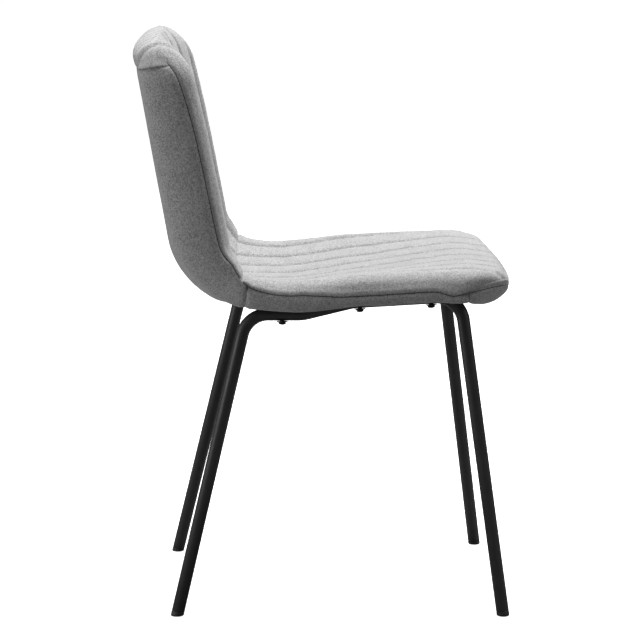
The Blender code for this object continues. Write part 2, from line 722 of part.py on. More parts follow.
def foam_pad(name, first, last, surface):
    """Foam between the fabric and the shell, wrapped round the shell's edge."""
    edge = PLY_INSET - GAP
    rows = foam_rows(first, last)

    def shell_edge_columns(b):
        outline = half_width(b, FOAM_INSET)
        shell = half_width(b, edge)
        return [outline, (outline + shell) / 2, shell, shell - FOAM_STEP, shell_column(b)]

    def under_x(b, nominal, j):
        if edge - FOAM_STEP / 2 < b < LENGTH - edge + FOAM_STEP / 2:
            return mirrored_column(j, shell_edge_columns(b))
        return column_place(nominal, j, "bottom", FOAM_INSET)

    def row_points(nominal, shift):
        b = row_place(nominal, FOAM_INSET) + shift
        over_shell = edge + FOAM_STEP / 2 < b < LENGTH - edge - FOAM_STEP / 2
        top, under = [], []
        for j in range(LAST_COLUMN + 1):
            x = column_place(nominal, j, "top", FOAM_INSET)
            outline = is_end(nominal) or j in (0, LAST_COLUMN)
            top.append(place(x, b, section(b).seam if outline else sitting_face(x, b, FOAM_INSET)))
            x = x if outline else under_x(b, nominal, j)
            if over_shell and BORDER_STEPS - 1 <= j <= LAST_COLUMN - BORDER_STEPS + 1:
                under.append(place(x, b, bowl(x, b) + SKIN_SPACE + PLY + GAP))
            else:
                under.append(place(x, b, section(b).seam if outline else outer_face(x, b, FOAM_INSET + FOAM_EASE)))
        return top, under

    def flush_top(k):
        """Top of a step row, flat between its neighbours as the fabric over it is."""
        before = max(row for row in rows[:k] if row in ROWS)
        after = min(row for row in rows[k:] if row in ROWS)
        share = (rows[k] - before) / (after - before)
        pairs = zip(row_points(before, 0.0)[0], row_points(after, 0.0)[0])
        return [start.lerp(end, share) for start, end in pairs]

    points, faces, grids = [], [], []
    for k, nominal in enumerate(rows):
        shift = 0.0
        if nominal == ROWS[MARK["cross"]]:
            shift = GAP / 2 if nominal == rows[0] else -GAP / 2
        top, under = row_points(nominal, shift)
        if nominal not in ROWS:
            top = flush_top(k)
        top_ids = list(range(len(points), len(points) + len(top)))
        points += top
        if is_end(nominal):
            grids.append((top_ids, top_ids))
            continue
        under_ids = [top_ids[0]] + list(range(len(points), len(points) + len(under) - 2)) + [top_ids[-1]]
        points += under[1:-1]
        grids.append((top_ids, under_ids))
    for (top_a, under_a), (top_b, under_b) in zip(grids, grids[1:]):
        for j in range(LAST_COLUMN):
            faces += grid_triangles(top_a[j], top_a[j + 1], top_b[j + 1], top_b[j])
            faces += [face[::-1] for face in
                      grid_triangles(under_a[j], under_a[j + 1], under_b[j + 1], under_b[j])]
    for top, under in (grids[0], grids[-1]):
        if top is under:
            continue
        for j in range(LAST_COLUMN):
            faces.append(tuple(dict.fromkeys((top[j], top[j + 1], under[j + 1], under[j]))))
    return add_object(name, points, faces, surface, radians(50))


def fabric_piece(name, cells, thickness, surface, holes=None):
    """A cloth piece over some grid cells (side, i, j) of the body, with a true thickness."""
    index, points, faces = {}, [], []
    edges, middles = {}, {}
    for side, i, j in cells:
        corners = [body_key(side, *corner) for corner in ((i, j), (i + 1, j), (i + 1, j + 1), (i, j + 1))]
        centre = sum((body_point(side, *corner) for corner in ((i, j), (i + 1, j), (i + 1, j + 1), (i, j + 1))),
                     Vector()) / 4
        for key in corners:
            middles.setdefault(key, []).append(centre)
            if key not in index:
                index[key] = len(points)
                for inset in (0.0, thickness):
                    points.append(body_point(side if key[0] == "outline" else key[0], key[1], key[2], inset))
        loop = corners if side == "top" else list(reversed(corners))
        for face in grid_triangles(*(index[key] for key in corners)):
            outer = face if side == "top" else face[::-1]
            faces.append(outer)
            faces.append(tuple(k + 1 for k in reversed(outer)))
        for start, end in zip(loop, loop[1:] + loop[:1]):
            if (end, start) in edges:
                del edges[(end, start)]
            else:
                edges[(start, end)] = True
    border = set()
    for start, end in edges:
        a, b = index[start], index[end]
        faces.append((b, a, a + 1, b + 1))
        border.update((start, end))
    for key in border:
        k = index[key]
        inward = sum(middles[key], Vector()) / len(middles[key]) - points[k]
        if inward.length > 0:
            shift = inward.normalized() * SEAM_GAP * 1.4
            points[k] = points[k] + shift
            points[k + 1] = points[k + 1] + shift
    made = add_object(name, points, faces, surface, radians(50))
    if holes:
        cut(made, holes, f"{name}_cutter")
    return made


def cell_block(side, rows, columns):
    return [(side, i, j) for i in range(*rows) for j in range(*columns)]


def fabric_pieces(fabrics, cover_surface, cover_holes):
    nose_band, nose_seam = MARK["nose_band"], MARK["nose_seam"]
    band_seam, cross, cover_end, wrap = MARK["band_seam"], MARK["cross"], MARK["cover_end"], MARK["wrap"]
    across = (0, LAST_COLUMN)
    inside = (BAND_COLUMN, LAST_COLUMN - BAND_COLUMN)
    borders = {"left": (LAST_COLUMN - BAND_COLUMN, LAST_COLUMN), "right": (0, BAND_COLUMN)}
    fabric_piece("seat_panel", cell_block("top", (0, cross), across), FABRIC, fabrics["seat"])
    fabric_piece("inside_back_panel",
                 cell_block("top", (cross, LAST_ROW), across) + cell_block("bottom", (wrap, LAST_ROW), across),
                 FABRIC, fabrics["back"])
    front = cell_block("bottom", (0, nose_band), across)
    for columns in borders.values():
        front += cell_block("bottom", (nose_band, nose_seam), columns)
    fabric_piece("front_band", front, FABRIC, fabrics["band"])
    for label, columns in borders.items():
        fabric_piece(f"{label}_seat_band", cell_block("bottom", (nose_seam, band_seam), columns), FABRIC,
                     fabrics["band"])
        fabric_piece(f"{label}_back_band", cell_block("bottom", (band_seam, wrap), columns), FABRIC,
                     fabrics["band"])
    fabric_piece("outside_back_panel", cell_block("bottom", (cover_end, wrap), inside), FABRIC, fabrics["band"])
    fabric_piece("under_cover", cell_block("bottom", (nose_band, cover_end), inside), UNDER_COVER,
                 cover_surface, cover_holes)


# ---------------------------------------------------------------- assembly
def clear_scene():
    for existing in list(bpy.data.objects):
        bpy.data.objects.remove(existing, do_unlink=True)


def main():
    clear_scene()
    powder_coat = material("black_powder_coat", (0.012, 0.012, 0.013), 0.55)
    plastic = material("black_plastic", (0.010, 0.010, 0.010), 0.45)
    black_steel = material("black_steel", (0.010, 0.010, 0.010), 0.40, 0.6)
    zinc = material("zinc_plate", (0.55, 0.55, 0.56), 0.35, 1.0)
    birch = material("birch_plywood", (0.62, 0.47, 0.30), 0.60)
    foam = material("foam", (0.80, 0.76, 0.62), 0.95)
    cover_cloth = material("black_non_woven", (0.012, 0.012, 0.012), 0.95)
    fabrics = {part: fabric_material(f"grey_fabric_{part}") for part in ("seat", "back", "band")}

    cover_holes, barrel_holes, flange_holes = [], [], []
    for side, label in ((1, "left"), (-1, "right")):
        frame = leg_frame(side, f"{label}_leg_frame", powder_coat)
        for end in ("front", "rear"):
            foot_plug(side, end, f"{end}_{label}_foot_plug", plastic)
        tube, cover, barrel, flange = fasteners(side, label, black_steel, zinc)
        cut(frame, tube, f"{label}_frame_drill")
        cover_holes += cover
        barrel_holes += barrel
        flange_holes += flange
    ply = plywood_shell(birch)
    cut(ply, barrel_holes, "barrel_drill")
    cut(ply, flange_holes, "flange_drill")
    foam_pad("seat_foam", 0, MARK["cross"], foam)
    foam_pad("back_foam", MARK["cross"], LAST_ROW, foam)
    fabric_pieces(fabrics, cover_cloth, cover_holes)


main()
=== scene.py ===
from collections import namedtuple
from math import atan2, ceil, cos, pi, radians, sin, sqrt, tan

import bmesh
import bpy
import numpy as np
from bpy.props import FloatProperty, FloatVectorProperty, IntProperty, PointerProperty
from mathutils import Matrix, Vector
from mathutils.kdtree import KDTree
from mathutils.noise import noise


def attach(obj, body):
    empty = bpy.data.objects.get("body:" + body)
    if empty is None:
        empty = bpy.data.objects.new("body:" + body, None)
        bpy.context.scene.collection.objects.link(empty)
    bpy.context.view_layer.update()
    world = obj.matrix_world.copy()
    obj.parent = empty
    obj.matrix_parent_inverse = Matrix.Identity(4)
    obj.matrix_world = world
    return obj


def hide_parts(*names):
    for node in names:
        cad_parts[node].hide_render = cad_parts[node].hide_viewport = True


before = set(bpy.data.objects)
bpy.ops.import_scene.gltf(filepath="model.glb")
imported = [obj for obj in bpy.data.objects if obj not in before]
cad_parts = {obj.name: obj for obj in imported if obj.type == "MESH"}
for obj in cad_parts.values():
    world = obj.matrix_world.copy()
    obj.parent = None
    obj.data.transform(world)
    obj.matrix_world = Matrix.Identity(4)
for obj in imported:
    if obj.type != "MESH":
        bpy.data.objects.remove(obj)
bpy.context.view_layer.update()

bl_info = {
    "name": "Channel Stitched Dining Chair",
    "version": (1, 0, 0),
    "blender": (4, 5, 0),
    "location": "3D View > Sidebar > Chair",
    "description": "Upholsters and finishes a side chair on two bent tube leg frames",
    "category": "Object",
}

# ---------------------------------------------------------------- form of the padded body, metres
# A point of the body is (x, b, n): x across, b along the slab from the nose of the seat to the top of the
# back, n square to the middle profile, counted from the outer face towards the sitter.
OVERALL_HEIGHT = 0.797
OVERALL_DEPTH = 0.5245
SEAT_WIDTH = 0.444
BACK_WIDTH = 0.412
SHELL_HEIGHT = 0.4495
BACK_RECLINE = radians(10.0)
NOSE_SETBACK = 0.0105
NOSE_RUN, NOSE_FALL, NOSE_BEND = 0.046, 0.0165, 0.10
THIGH_RUN, THIGH_FALL, THIGH_BEND = 0.165, 0.0135, 0.12
POCKET_RUN, POCKET_FALL, POCKET_BEND = 0.070, 0.0215, 0.15
HIP_FALL, HIP_BEND = 0.0015, 0.115
TOP_ROLL_HEIGHT = 0.0374
NOSE_CORNER, TOP_CORNER = 0.060, 0.062
NOSE_BOW, BOW_REACH = 0.012, 0.15
EDGE_ROLL = 0.042
RIM_RISE = 0.012
DISH_WIDTH = 0.19
PLY_TOP = 0.0137

TUBE_RADIUS = 0.009
FRONT_FOOT_SPACING, REAR_FOOT_SPACING = 0.402, 0.360
FRONT_FOOT_SETBACK, REAR_FOOT_INSET = 0.0155, 0.0560
FRONT_RAKE, REAR_RAKE, SPLAY = radians(7.5), radians(13.5), radians(7.1)
LEG_BEND, RAIL_BEND = 0.037, 0.060
BOLT_SPACINGS = (0.0985, 0.107)
RAIL_DIP = 0.0016
GAP = 0.0005
PLUG_COLLAR = 0.006
PLUG_EASE = 0.0015
BOLT_HEAD_RADIUS, BOLT_HEAD = 0.0052, 0.0025
WASHER_RADIUS, WASHER = 0.008, 0.0012
LOCK_RADIUS, LOCK = 0.0055, 0.0010
PLUG_CLEARANCE = 0.0003
TUBE_WALL = 0.0015

# pad at the middle, pad at its crown, side seam, how far the band's rim stands proud of the shell,
# bowl of the shell and how far the band turns in below the seam
Section = namedtuple("Section", "pad crown seam lip bowl tuck")
SECTIONS = {
    "nose": Section(0.0400, 0.0410, 0.034, 0.0150, 0.006, 0.045),
    "corner": Section(0.0350, 0.0415, 0.0065, 0.0130, 0.007, 0.012),
    "front": Section(0.0335, 0.0420, 0.015, 0.0100, 0.008, 0.012),
    "middle": Section(0.0275, 0.0445, 0.018, 0.0150, 0.015, 0.012),
    "pocket": Section(0.0365, 0.0555, 0.040, 0.0090, 0.021, 0.013),
    "rear": Section(0.0375, 0.0560, 0.041, 0.0080, 0.0225, 0.014),
    "bend": Section(0.0400, 0.0775, 0.074, 0.0055, 0.031, 0.024),
    "lumbar": Section(0.0470, 0.0808, 0.070, 0.0063, 0.017, 0.026),
    "back": Section(0.0510, 0.0800, 0.067, 0.0047, 0.013, 0.026),
    "shoulder": Section(0.0520, 0.0765, 0.058, 0.0038, 0.012, 0.026),
    "top": Section(0.0500, 0.0705, 0.038, 0.0034, 0.012, 0.022),
}
LUMBAR_HEIGHT = 0.135
BACK_MIDDLE_HEIGHT = 0.245
SHOULDER_DROP = 0.055
UNDER_COVER_END = radians(18)
CROSS_SEAM = radians(12)
BAND_SEAM_SETBACK = 0.012
NOSE_BAND_DEPTH = 0.046
NOSE_BAND_REACH = 0.056
CORNER_REACH = 0.075

FRONT_Y = -OVERALL_DEPTH / 2
FIRST_BOLT = (FRONT_FOOT_SETBACK + tan(FRONT_RAKE) * (SHELL_HEIGHT - TUBE_RADIUS)
              + LEG_BEND * tan((pi / 2 - FRONT_RAKE) / 2) + WASHER_RADIUS + GAP)
RAIL_BOLTS = (FIRST_BOLT, FIRST_BOLT + BOLT_SPACINGS[0], FIRST_BOLT + sum(BOLT_SPACINGS))

BORDER_COLUMNS, RIM_COLUMNS, MIDDLE_COLUMNS = 18, 4, 148
ROW_STEP = 0.0030
CHANNEL_LINES = (-3.5, -2.5, -1.5, -0.5, 0.5, 1.5, 2.5, 3.5)
# radius of the thin dark tube laid in each seam as painted shade for its groove
SEAM_SHADE_RADIUS = 0.0005
STAPLE_WIRE = 0.00045


class Profile:
    """A polyline in (y, z) with rounded corners, measured by arc length."""

    def __init__(self, corners, radii):
        self.pieces = []
        self.length = 0.0
        start = Vector(corners[0])
        for k in range(1, len(corners) - 1):
            corner = Vector(corners[k])
            incoming = (corner - Vector(corners[k - 1])).normalized()
            outgoing = (Vector(corners[k + 1]) - corner).normalized()
            turn = atan2(incoming.cross(outgoing), incoming.dot(outgoing))
            reach = radii[k - 1] * tan(abs(turn) / 2)
            self._line(start, corner - incoming * reach)
            self._arc(corner - incoming * reach, incoming, turn, radii[k - 1])
            start = corner + outgoing * reach
        self._line(start, Vector(corners[-1]))

    def _line(self, start, end):
        self.pieces.append((self.length, start, (end - start).normalized(), 0.0))
        self.length += (end - start).length

    def _arc(self, start, direction, turn, radius):
        self.pieces.append((self.length, start, direction, (1 if turn > 0 else -1) / radius))
        self.length += abs(turn) * radius

    def at(self, distance):
        """Place and direction at a distance along the profile; straight on past both ends."""
        piece = self.pieces[0]
        for candidate in self.pieces:
            if candidate[0] <= distance:
                piece = candidate
        run = distance - piece[0]
        start, direction, curvature = piece[1:]
        left = Vector((-direction.y, direction.x))
        if curvature == 0.0:
            return start + direction * run, direction
        angle = run * curvature
        place = start + (direction * sin(angle) + left * (1 - cos(angle))) / curvature
        return place, direction * cos(angle) + left * sin(angle)

    def find(self, axis, value):
        """Distance at which one coordinate reaches a value, for a coordinate that only grows."""
        low, high = 0.0, self.length
        for _ in range(50):
            middle = (low + high) / 2
            if self.at(middle)[0][axis] < value:
                low = middle
            else:
                high = middle
        return (low + high) / 2


def body_profile():
    nose = Vector((FRONT_Y + NOSE_SETBACK, SHELL_HEIGHT - NOSE_FALL))
    crest = nose + Vector((NOSE_RUN, NOSE_FALL))
    thigh = crest + Vector((THIGH_RUN, -THIGH_FALL))
    pocket = thigh + Vector((POCKET_RUN, -POCKET_FALL))
    base = pocket.y - HIP_FALL
    lean = tan(BACK_RECLINE)
    end_height = OVERALL_HEIGHT - SECTIONS["top"].seam * sin(BACK_RECLINE)
    rearmost = OVERALL_DEPTH / 2 - SECTIONS["top"].lip / cos(BACK_RECLINE)
    hip = Vector((rearmost - lean * (OVERALL_HEIGHT - TOP_ROLL_HEIGHT - base), base))
    end = Vector((hip.x + lean * (end_height - base), end_height))
    return Profile([nose, crest, thigh, pocket, hip, end], [NOSE_BEND, THIGH_BEND, POCKET_BEND, HIP_BEND])


BODY = body_profile()
LENGTH = BODY.length
HIP_START, HIP_LENGTH = BODY.pieces[7][0], BODY.pieces[8][0] - BODY.pieces[7][0]
HIP_TURN = pi / 2 - BACK_RECLINE
BASE_HEIGHT = SHELL_HEIGHT - THIGH_FALL - POCKET_FALL - HIP_FALL
STATIONS = [
    (0.0, SECTIONS["nose"]),
    (CORNER_REACH, SECTIONS["corner"]),
    (BODY.find(0, FRONT_Y + RAIL_BOLTS[0]), SECTIONS["front"]),
    (BODY.find(0, FRONT_Y + RAIL_BOLTS[1]), SECTIONS["middle"]),
    (BODY.find(0, FRONT_Y + NOSE_SETBACK + NOSE_RUN + THIGH_RUN + POCKET_RUN), SECTIONS["pocket"]),
    (BODY.find(0, FRONT_Y + RAIL_BOLTS[2]), SECTIONS["rear"]),
    (HIP_START + 0.55 * HIP_LENGTH, SECTIONS["bend"]),
    (LENGTH - (OVERALL_HEIGHT - BASE_HEIGHT - LUMBAR_HEIGHT) / cos(BACK_RECLINE), SECTIONS["lumbar"]),
    (LENGTH - (OVERALL_HEIGHT - BASE_HEIGHT - BACK_MIDDLE_HEIGHT) / cos(BACK_RECLINE), SECTIONS["back"]),
    (LENGTH - SHOULDER_DROP, SECTIONS["shoulder"]),
    (LENGTH, SECTIONS["top"]),
]
CROSS = HIP_START + CROSS_SEAM / HIP_TURN * HIP_LENGTH
BAND_SEAM = CROSS - BAND_SEAM_SETBACK
COVER_END = HIP_START + UNDER_COVER_END / HIP_TURN * HIP_LENGTH
WRAP = LENGTH - SECTIONS["top"].tuck - RIM_RISE
SEAM_END = LENGTH - 0.025
NOSE_SEAM_DROP = 0.0065


def section_at(b):
    """The cross-section at b, on a smooth curve through the named ones."""
    places = [place for place, _ in STATIONS]
    values = [value for _, value in STATIONS]
    if b <= places[0]:
        return values[0]
    if b >= places[-1]:
        return values[-1]
    k = max(i for i in range(len(places) - 1) if places[i] <= b)
    span = places[k + 1] - places[k]
    t = (b - places[k]) / span

    def slope(i, field):
        if i in (0, len(places) - 1):
            return 0.0
        before = (values[i][field] - values[i - 1][field]) / (places[i] - places[i - 1])
        after = (values[i + 1][field] - values[i][field]) / (places[i + 1] - places[i])
        return 2 * before * after / (before + after) if before * after > 0 else 0.0

    fields = []
    for field in range(len(Section._fields)):
        p0, p1 = values[k][field], values[k + 1][field]
        m0, m1 = slope(k, field) * span, slope(k + 1, field) * span
        fields.append((2 * t**3 - 3 * t**2 + 1) * p0 + (t**3 - 2 * t**2 + t) * m0
                      + (3 * t**2 - 2 * t**3) * p1 + (t**3 - t**2) * m1)
    return Section(*fields)


# the profile and its sections, sampled finely so that whole grids of points are worked out at once
SAMPLES = np.arange(-0.05, LENGTH + 0.05, 0.0004)
PROFILE_TABLE = np.array([[*BODY.at(b)[0], *BODY.at(b)[1]] for b in SAMPLES])
SECTION_TABLE = np.array([section_at(b) for b in SAMPLES])


def field(name, b):
    return np.interp(b, SAMPLES, SECTION_TABLE[:, Section._fields.index(name)])


def smooth(t):
    t = np.clip(t, 0.0, 1.0)
    return t * t * (3 - 2 * t)


def full_half_width(b):
    start = BODY.find(0, FRONT_Y + RAIL_BOLTS[1])
    end = HIP_START + HIP_LENGTH
    return (SEAT_WIDTH + (BACK_WIDTH - SEAT_WIDTH) * smooth((b - start) / (end - start))) / 2


def corner_radius(b):
    return np.where(b < LENGTH / 2, NOSE_CORNER, TOP_CORNER)


def half_width(b, inset=0.0):
    """Half width of the outline moved inwards by inset."""
    radius = corner_radius(b)
    past = np.maximum(np.abs(b - LENGTH / 2) - (LENGTH / 2 - radius), 0.0)
    rounded = full_half_width(b) - radius + np.sqrt(np.maximum(0.0, (radius - inset) ** 2 - past**2))
    return np.where(past <= 0, full_half_width(b) - inset, rounded)


def edge_distance(x, b):
    """Distance of a point of the body from its outline."""
    radius = corner_radius(b)
    across = np.abs(x) - (full_half_width(b) - radius)
    along = np.abs(b - LENGTH / 2) - (LENGTH / 2 - radius)
    outside = np.hypot(np.maximum(across, 0.0), np.maximum(along, 0.0))
    return radius - outside - np.minimum(np.maximum(across, along), 0.0)


def bowl(x, b):
    return field("bowl", b) * (x / DISH_WIDTH) ** 2


def sitting_face(x, b, inset=0.0):
    """Height n of the sitting face, moved inwards by inset."""
    distance = np.maximum(edge_distance(x, b), inset)
    reach = full_half_width(b) - EDGE_ROLL
    pad, crown, seam = field("pad", b), field("crown", b), field("seam", b)
    top = pad + (crown - pad) * (np.minimum(np.abs(x), reach * 1.1) / reach) ** 2
    lean = np.clip((EDGE_ROLL - distance) / (EDGE_ROLL - inset), 0.0, 1.0)
    rolled = seam + (top - seam - inset) * np.sqrt(np.maximum(0.0, 1 - lean**2))
    return np.where(distance >= EDGE_ROLL, top - inset, rolled)


def outer_face(x, b, inset=0.0):
    """Height n of the lower and rear face, moved inwards by inset."""
    distance = np.maximum(edge_distance(x, b), inset)
    seam, lip, tuck = field("seam", b), field("lip", b), field("tuck", b)
    shell = bowl(x, b)
    lean = np.clip((tuck - distance) / (tuck - inset), 0.0, 1.0)
    rolled = seam - (seam - shell + lip - inset) * np.sqrt(np.maximum(0.0, 1 - lean**2))
    flat = shell - lip * (1 - smooth((distance - tuck) / RIM_RISE)) + inset
    return np.where(distance < tuck, rolled, flat)


def seam_drop(b):
    """How far the sewn seam lies below the widest line of the body, round the nose."""
    return NOSE_SEAM_DROP * (1 - smooth((b - 0.025) / 0.045))


def place(x, b, n):
    """World positions of points of the body."""
    bow = NOSE_BOW * (x / full_half_width(b)) ** 2 * np.maximum(0.0, 1 - b / BOW_REACH) ** 2
    y, z, along_y, along_z = (np.interp(b + bow, SAMPLES, PROFILE_TABLE[:, k]) for k in range(4))
    return np.stack([x + 0 * y, y - n * along_z, z + n * along_y], axis=-1)


# ---------------------------------------------------------------- grids over the body
def row_places(nominal, inset=0.0):
    """Rows moved inwards with a surface that is inset."""
    from_nose = np.maximum(0.0, 1 - nominal / NOSE_CORNER)
    from_top = np.maximum(0.0, 1 - (LENGTH - nominal) / TOP_CORNER)
    return nominal + inset * (from_nose - from_top)


def rows_between(first, last, extra=()):
    """Cross rows, closer together where the pad rolls over at its two ends."""
    turns = np.linspace(0, pi / 2, 19)[:-1]
    rows = list(EDGE_ROLL * (1 - np.cos(turns))) + list(LENGTH - EDGE_ROLL * (1 - np.cos(turns)))
    count = ceil((LENGTH - 2 * EDGE_ROLL) / ROW_STEP)
    rows += list(np.linspace(EDGE_ROLL, LENGTH - EDGE_ROLL, count + 1))
    marks = [first, last, *extra]
    rows = [b for b in rows if first < b < last and min(abs(b - m) for m in marks) > 0.0012]
    return np.array(sorted(set(rows + marks)))


def border_offsets(b, side, inset):
    """Distances from the outline of the columns in a border, the outline first, for every row."""
    turns = np.linspace(0, pi / 2, BORDER_COLUMNS + 1)
    top = EDGE_ROLL - (EDGE_ROLL - inset) * np.cos(turns)[None, :] + 0 * b[:, None]
    if side == "top":
        return top
    tuck = field("tuck", b)[:, None]
    turns = np.linspace(0, pi / 2, BORDER_COLUMNS - RIM_COLUMNS + 1)[None, :]
    rim = tuck + RIM_RISE * np.arange(1, RIM_COLUMNS + 1)[None, :] / RIM_COLUMNS
    under = np.concatenate([tuck - (tuck - inset) * np.cos(turns), rim], axis=1)
    at_end = ((b <= inset + 1e-9) | (b >= LENGTH - inset - 1e-9))[:, None]
    return np.where(at_end, top, under)


def columns(b, side, inset=0.0):
    """Cross places x of all the columns of each row, from the right side of the chair to its left."""
    offsets = border_offsets(b, side, inset)
    outline = half_width(b, inset)[:, None]
    narrowing = outline / (full_half_width(b)[:, None] - inset)
    border = outline - (offsets - inset) * narrowing
    share = np.linspace(1, -1, MIDDLE_COLUMNS + 1)[None, 1:-1]
    middle = border[:, -1:] * share
    return -np.concatenate([border, middle, -border[:, ::-1]], axis=1)


class Grid:
    """A sheet of points over part of the body, with the place of each on the body."""

    def __init__(self, rows, side, inset=0.0, keep=slice(None)):
        b = row_places(rows, inset)
        self.x = columns(b, side, inset)[:, keep]
        self.b = np.repeat(b[:, None], self.x.shape[1], axis=1)
        face = sitting_face if side == "top" else outer_face
        self.n = face(self.x, self.b, inset)
        on_outline = edge_distance(self.x, self.b) <= inset + 1e-7
        self.n = np.where(on_outline, field("seam", self.b), self.n)
        self.side = side
        self.points = place(self.x, self.b, self.n)

    def normals(self):
        """Outward direction at every point."""
        rows, across = np.gradient(self.points, axis=0), np.gradient(self.points, axis=1)
        result = np.cross(across, rows) if self.side == "top" else np.cross(rows, across)
        result = result / np.maximum(np.linalg.norm(result, axis=-1, keepdims=True), 1e-12)
        result[:, 0], result[:, -1] = result[:, 1], result[:, -2]
        result[0], result[-1] = result[1], result[-2]
        return result

    def from_seam(self):
        """Distance over the cloth from the widest line of the body, good near that line."""
        return np.hypot(edge_distance(self.x, self.b), self.n - field("seam", self.b))

    def from_sewing(self):
        """Distance over the cloth from the sewn seam, good near the seam; far where the cloth runs on unsewn."""
        drop = seam_drop(self.b)
        across = np.hypot(edge_distance(self.x, self.b), self.n - (field("seam", self.b) - drop))
        return np.where(self.b > SEAM_END, np.hypot(across, self.b - SEAM_END), across)

    def faces(self, start=0):
        rows, across = self.x.shape
        index = np.arange(rows * across).reshape(rows, across) + start
        quads = np.stack([index[:-1, :-1], index[:-1, 1:], index[1:, 1:], index[1:, :-1]], axis=-1)
        return quads.reshape(-1, 4)


def side_columns(label):
    """The columns of the band on one side of the chair."""
    count = 2 * BORDER_COLUMNS + MIDDLE_COLUMNS + 1
    return slice(0, BORDER_COLUMNS + 1) if label == "right" else slice(count - BORDER_COLUMNS - 1, count)


INSIDE_COLUMNS = slice(BORDER_COLUMNS, BORDER_COLUMNS + MIDDLE_COLUMNS + 1)


def wander(points, size, seed):
    """A smooth value between about -1 and 1 at every point, for cloth that isn't perfectly even."""
    flat = points.reshape(-1, 3) / size + seed
    return np.array([noise(Vector(p)) for p in flat]).reshape(points.shape[:-1])


# ---------------------------------------------------------------- objects
TUBE_GUIDE = np.array([1.0, 0.37, 0.21])


def add_mesh(name, points, faces, material, merge=0.0, tidy=True):
    """A smooth shaded object; points nearer than merge are joined, and tidy turns its faces outwards."""
    mesh = bpy.data.meshes.new(name)
    mesh.from_pydata([tuple(p) for p in np.asarray(points).reshape(-1, 3)], [],
                     [tuple(dict.fromkeys(int(k) for k in f)) for f in faces])
    if tidy:
        built = bmesh.new()
        built.from_mesh(mesh)
        if merge:
            bmesh.ops.remove_doubles(built, verts=built.verts, dist=merge)
            bmesh.ops.dissolve_degenerate(built, edges=built.edges, dist=1e-7)
        bmesh.ops.recalc_face_normals(built, faces=built.faces)
        if built.calc_volume(signed=True) < 0:
            bmesh.ops.reverse_faces(built, faces=built.faces)
        built.to_mesh(mesh)
        built.free()
    mesh.shade_smooth()
    mesh.materials.append(material)
    made = bpy.data.objects.new(name, mesh)
    bpy.context.scene.collection.objects.link(made)
    return made


def settle(piece, slot, *nodes):
    """Puts a finished piece on the chair, in place of its CAD nodes."""
    if nodes:
        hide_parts(*nodes)
    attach(piece, "root")
    return piece


def ring_faces(count, sides):
    """Faces over a stack of rings of points, closed at its two ends."""
    faces = [(r * sides + k, r * sides + (k + 1) % sides, (r + 1) * sides + (k + 1) % sides, (r + 1) * sides + k)
             for r in range(count - 1) for k in range(sides)]
    return faces + [tuple(range(sides))[::-1], tuple((count - 1) * sides + k for k in range(sides))]


def tube_mesh(points, radius, sides=6):
    """A thin closed tube along a line of points."""
    points = np.asarray(points)
    along = np.gradient(points, axis=0)
    along /= np.maximum(np.linalg.norm(along, axis=1, keepdims=True), 1e-12)
    across = np.cross(along, TUBE_GUIDE)
    across /= np.linalg.norm(across, axis=1, keepdims=True)
    other = np.cross(along, across)
    turns = np.arange(sides) * 2 * pi / sides
    ring = (across[:, None, :] * np.cos(turns)[None, :, None] + other[:, None, :] * np.sin(turns)[None, :, None])
    rings = points[:, None, :] + ring * radius
    return rings.reshape(-1, 3), ring_faces(len(points), sides)


def apply_modifier(piece, name):
    with bpy.context.temp_override(object=piece, active_object=piece, selected_objects=[piece]):
        bpy.ops.object.modifier_apply(modifier=name)


def search_tree(points):
    tree = KDTree(len(points))
    for k, point in enumerate(points):
        tree.insert(point, k)
    tree.balance()
    return tree


def spaced(points, step):
    """Points at an even distance along a line."""
    points = np.asarray(points)
    lengths = np.concatenate([[0], np.cumsum(np.linalg.norm(np.diff(points, axis=0), axis=1))])
    wanted = np.arange(0, lengths[-1], step)
    return np.stack([np.interp(wanted, lengths, points[:, k]) for k in range(3)], axis=-1)


def gathered(parts):
    """Several meshes as one list of points and faces."""
    points, faces, start = [], [], 0
    for part_points, part_faces in parts:
        points.append(part_points)
        faces += [tuple(k + start for k in face) for face in part_faces]
        start += len(part_points)
    return np.concatenate(points), faces


def stitch_row(line, pitch, length, radius):
    """A row of separate stitches along a line on the cloth, each sunk at its two ends."""
    fine = spaced(line, length / 4)
    per_stitch = max(5, round(pitch / (length / 4)))
    return gathered([tube_mesh(fine[start:start + 5], radius, 5) for start in range(0, len(fine) - 5, per_stitch)])


# ---------------------------------------------------------------- settings a user would change
def length_setting(name, description, default):
    return FloatProperty(name=name, description=description, default=default, unit="LENGTH")


def colour_setting(name, description, *default):
    return FloatVectorProperty(name=name, description=description, default=(*default, 1.0), size=4,
                               subtype="COLOR", min=0.0, max=1.0)


def power_setting(name, description, default):
    return FloatProperty(name=name, description=description, default=default, subtype="POWER")


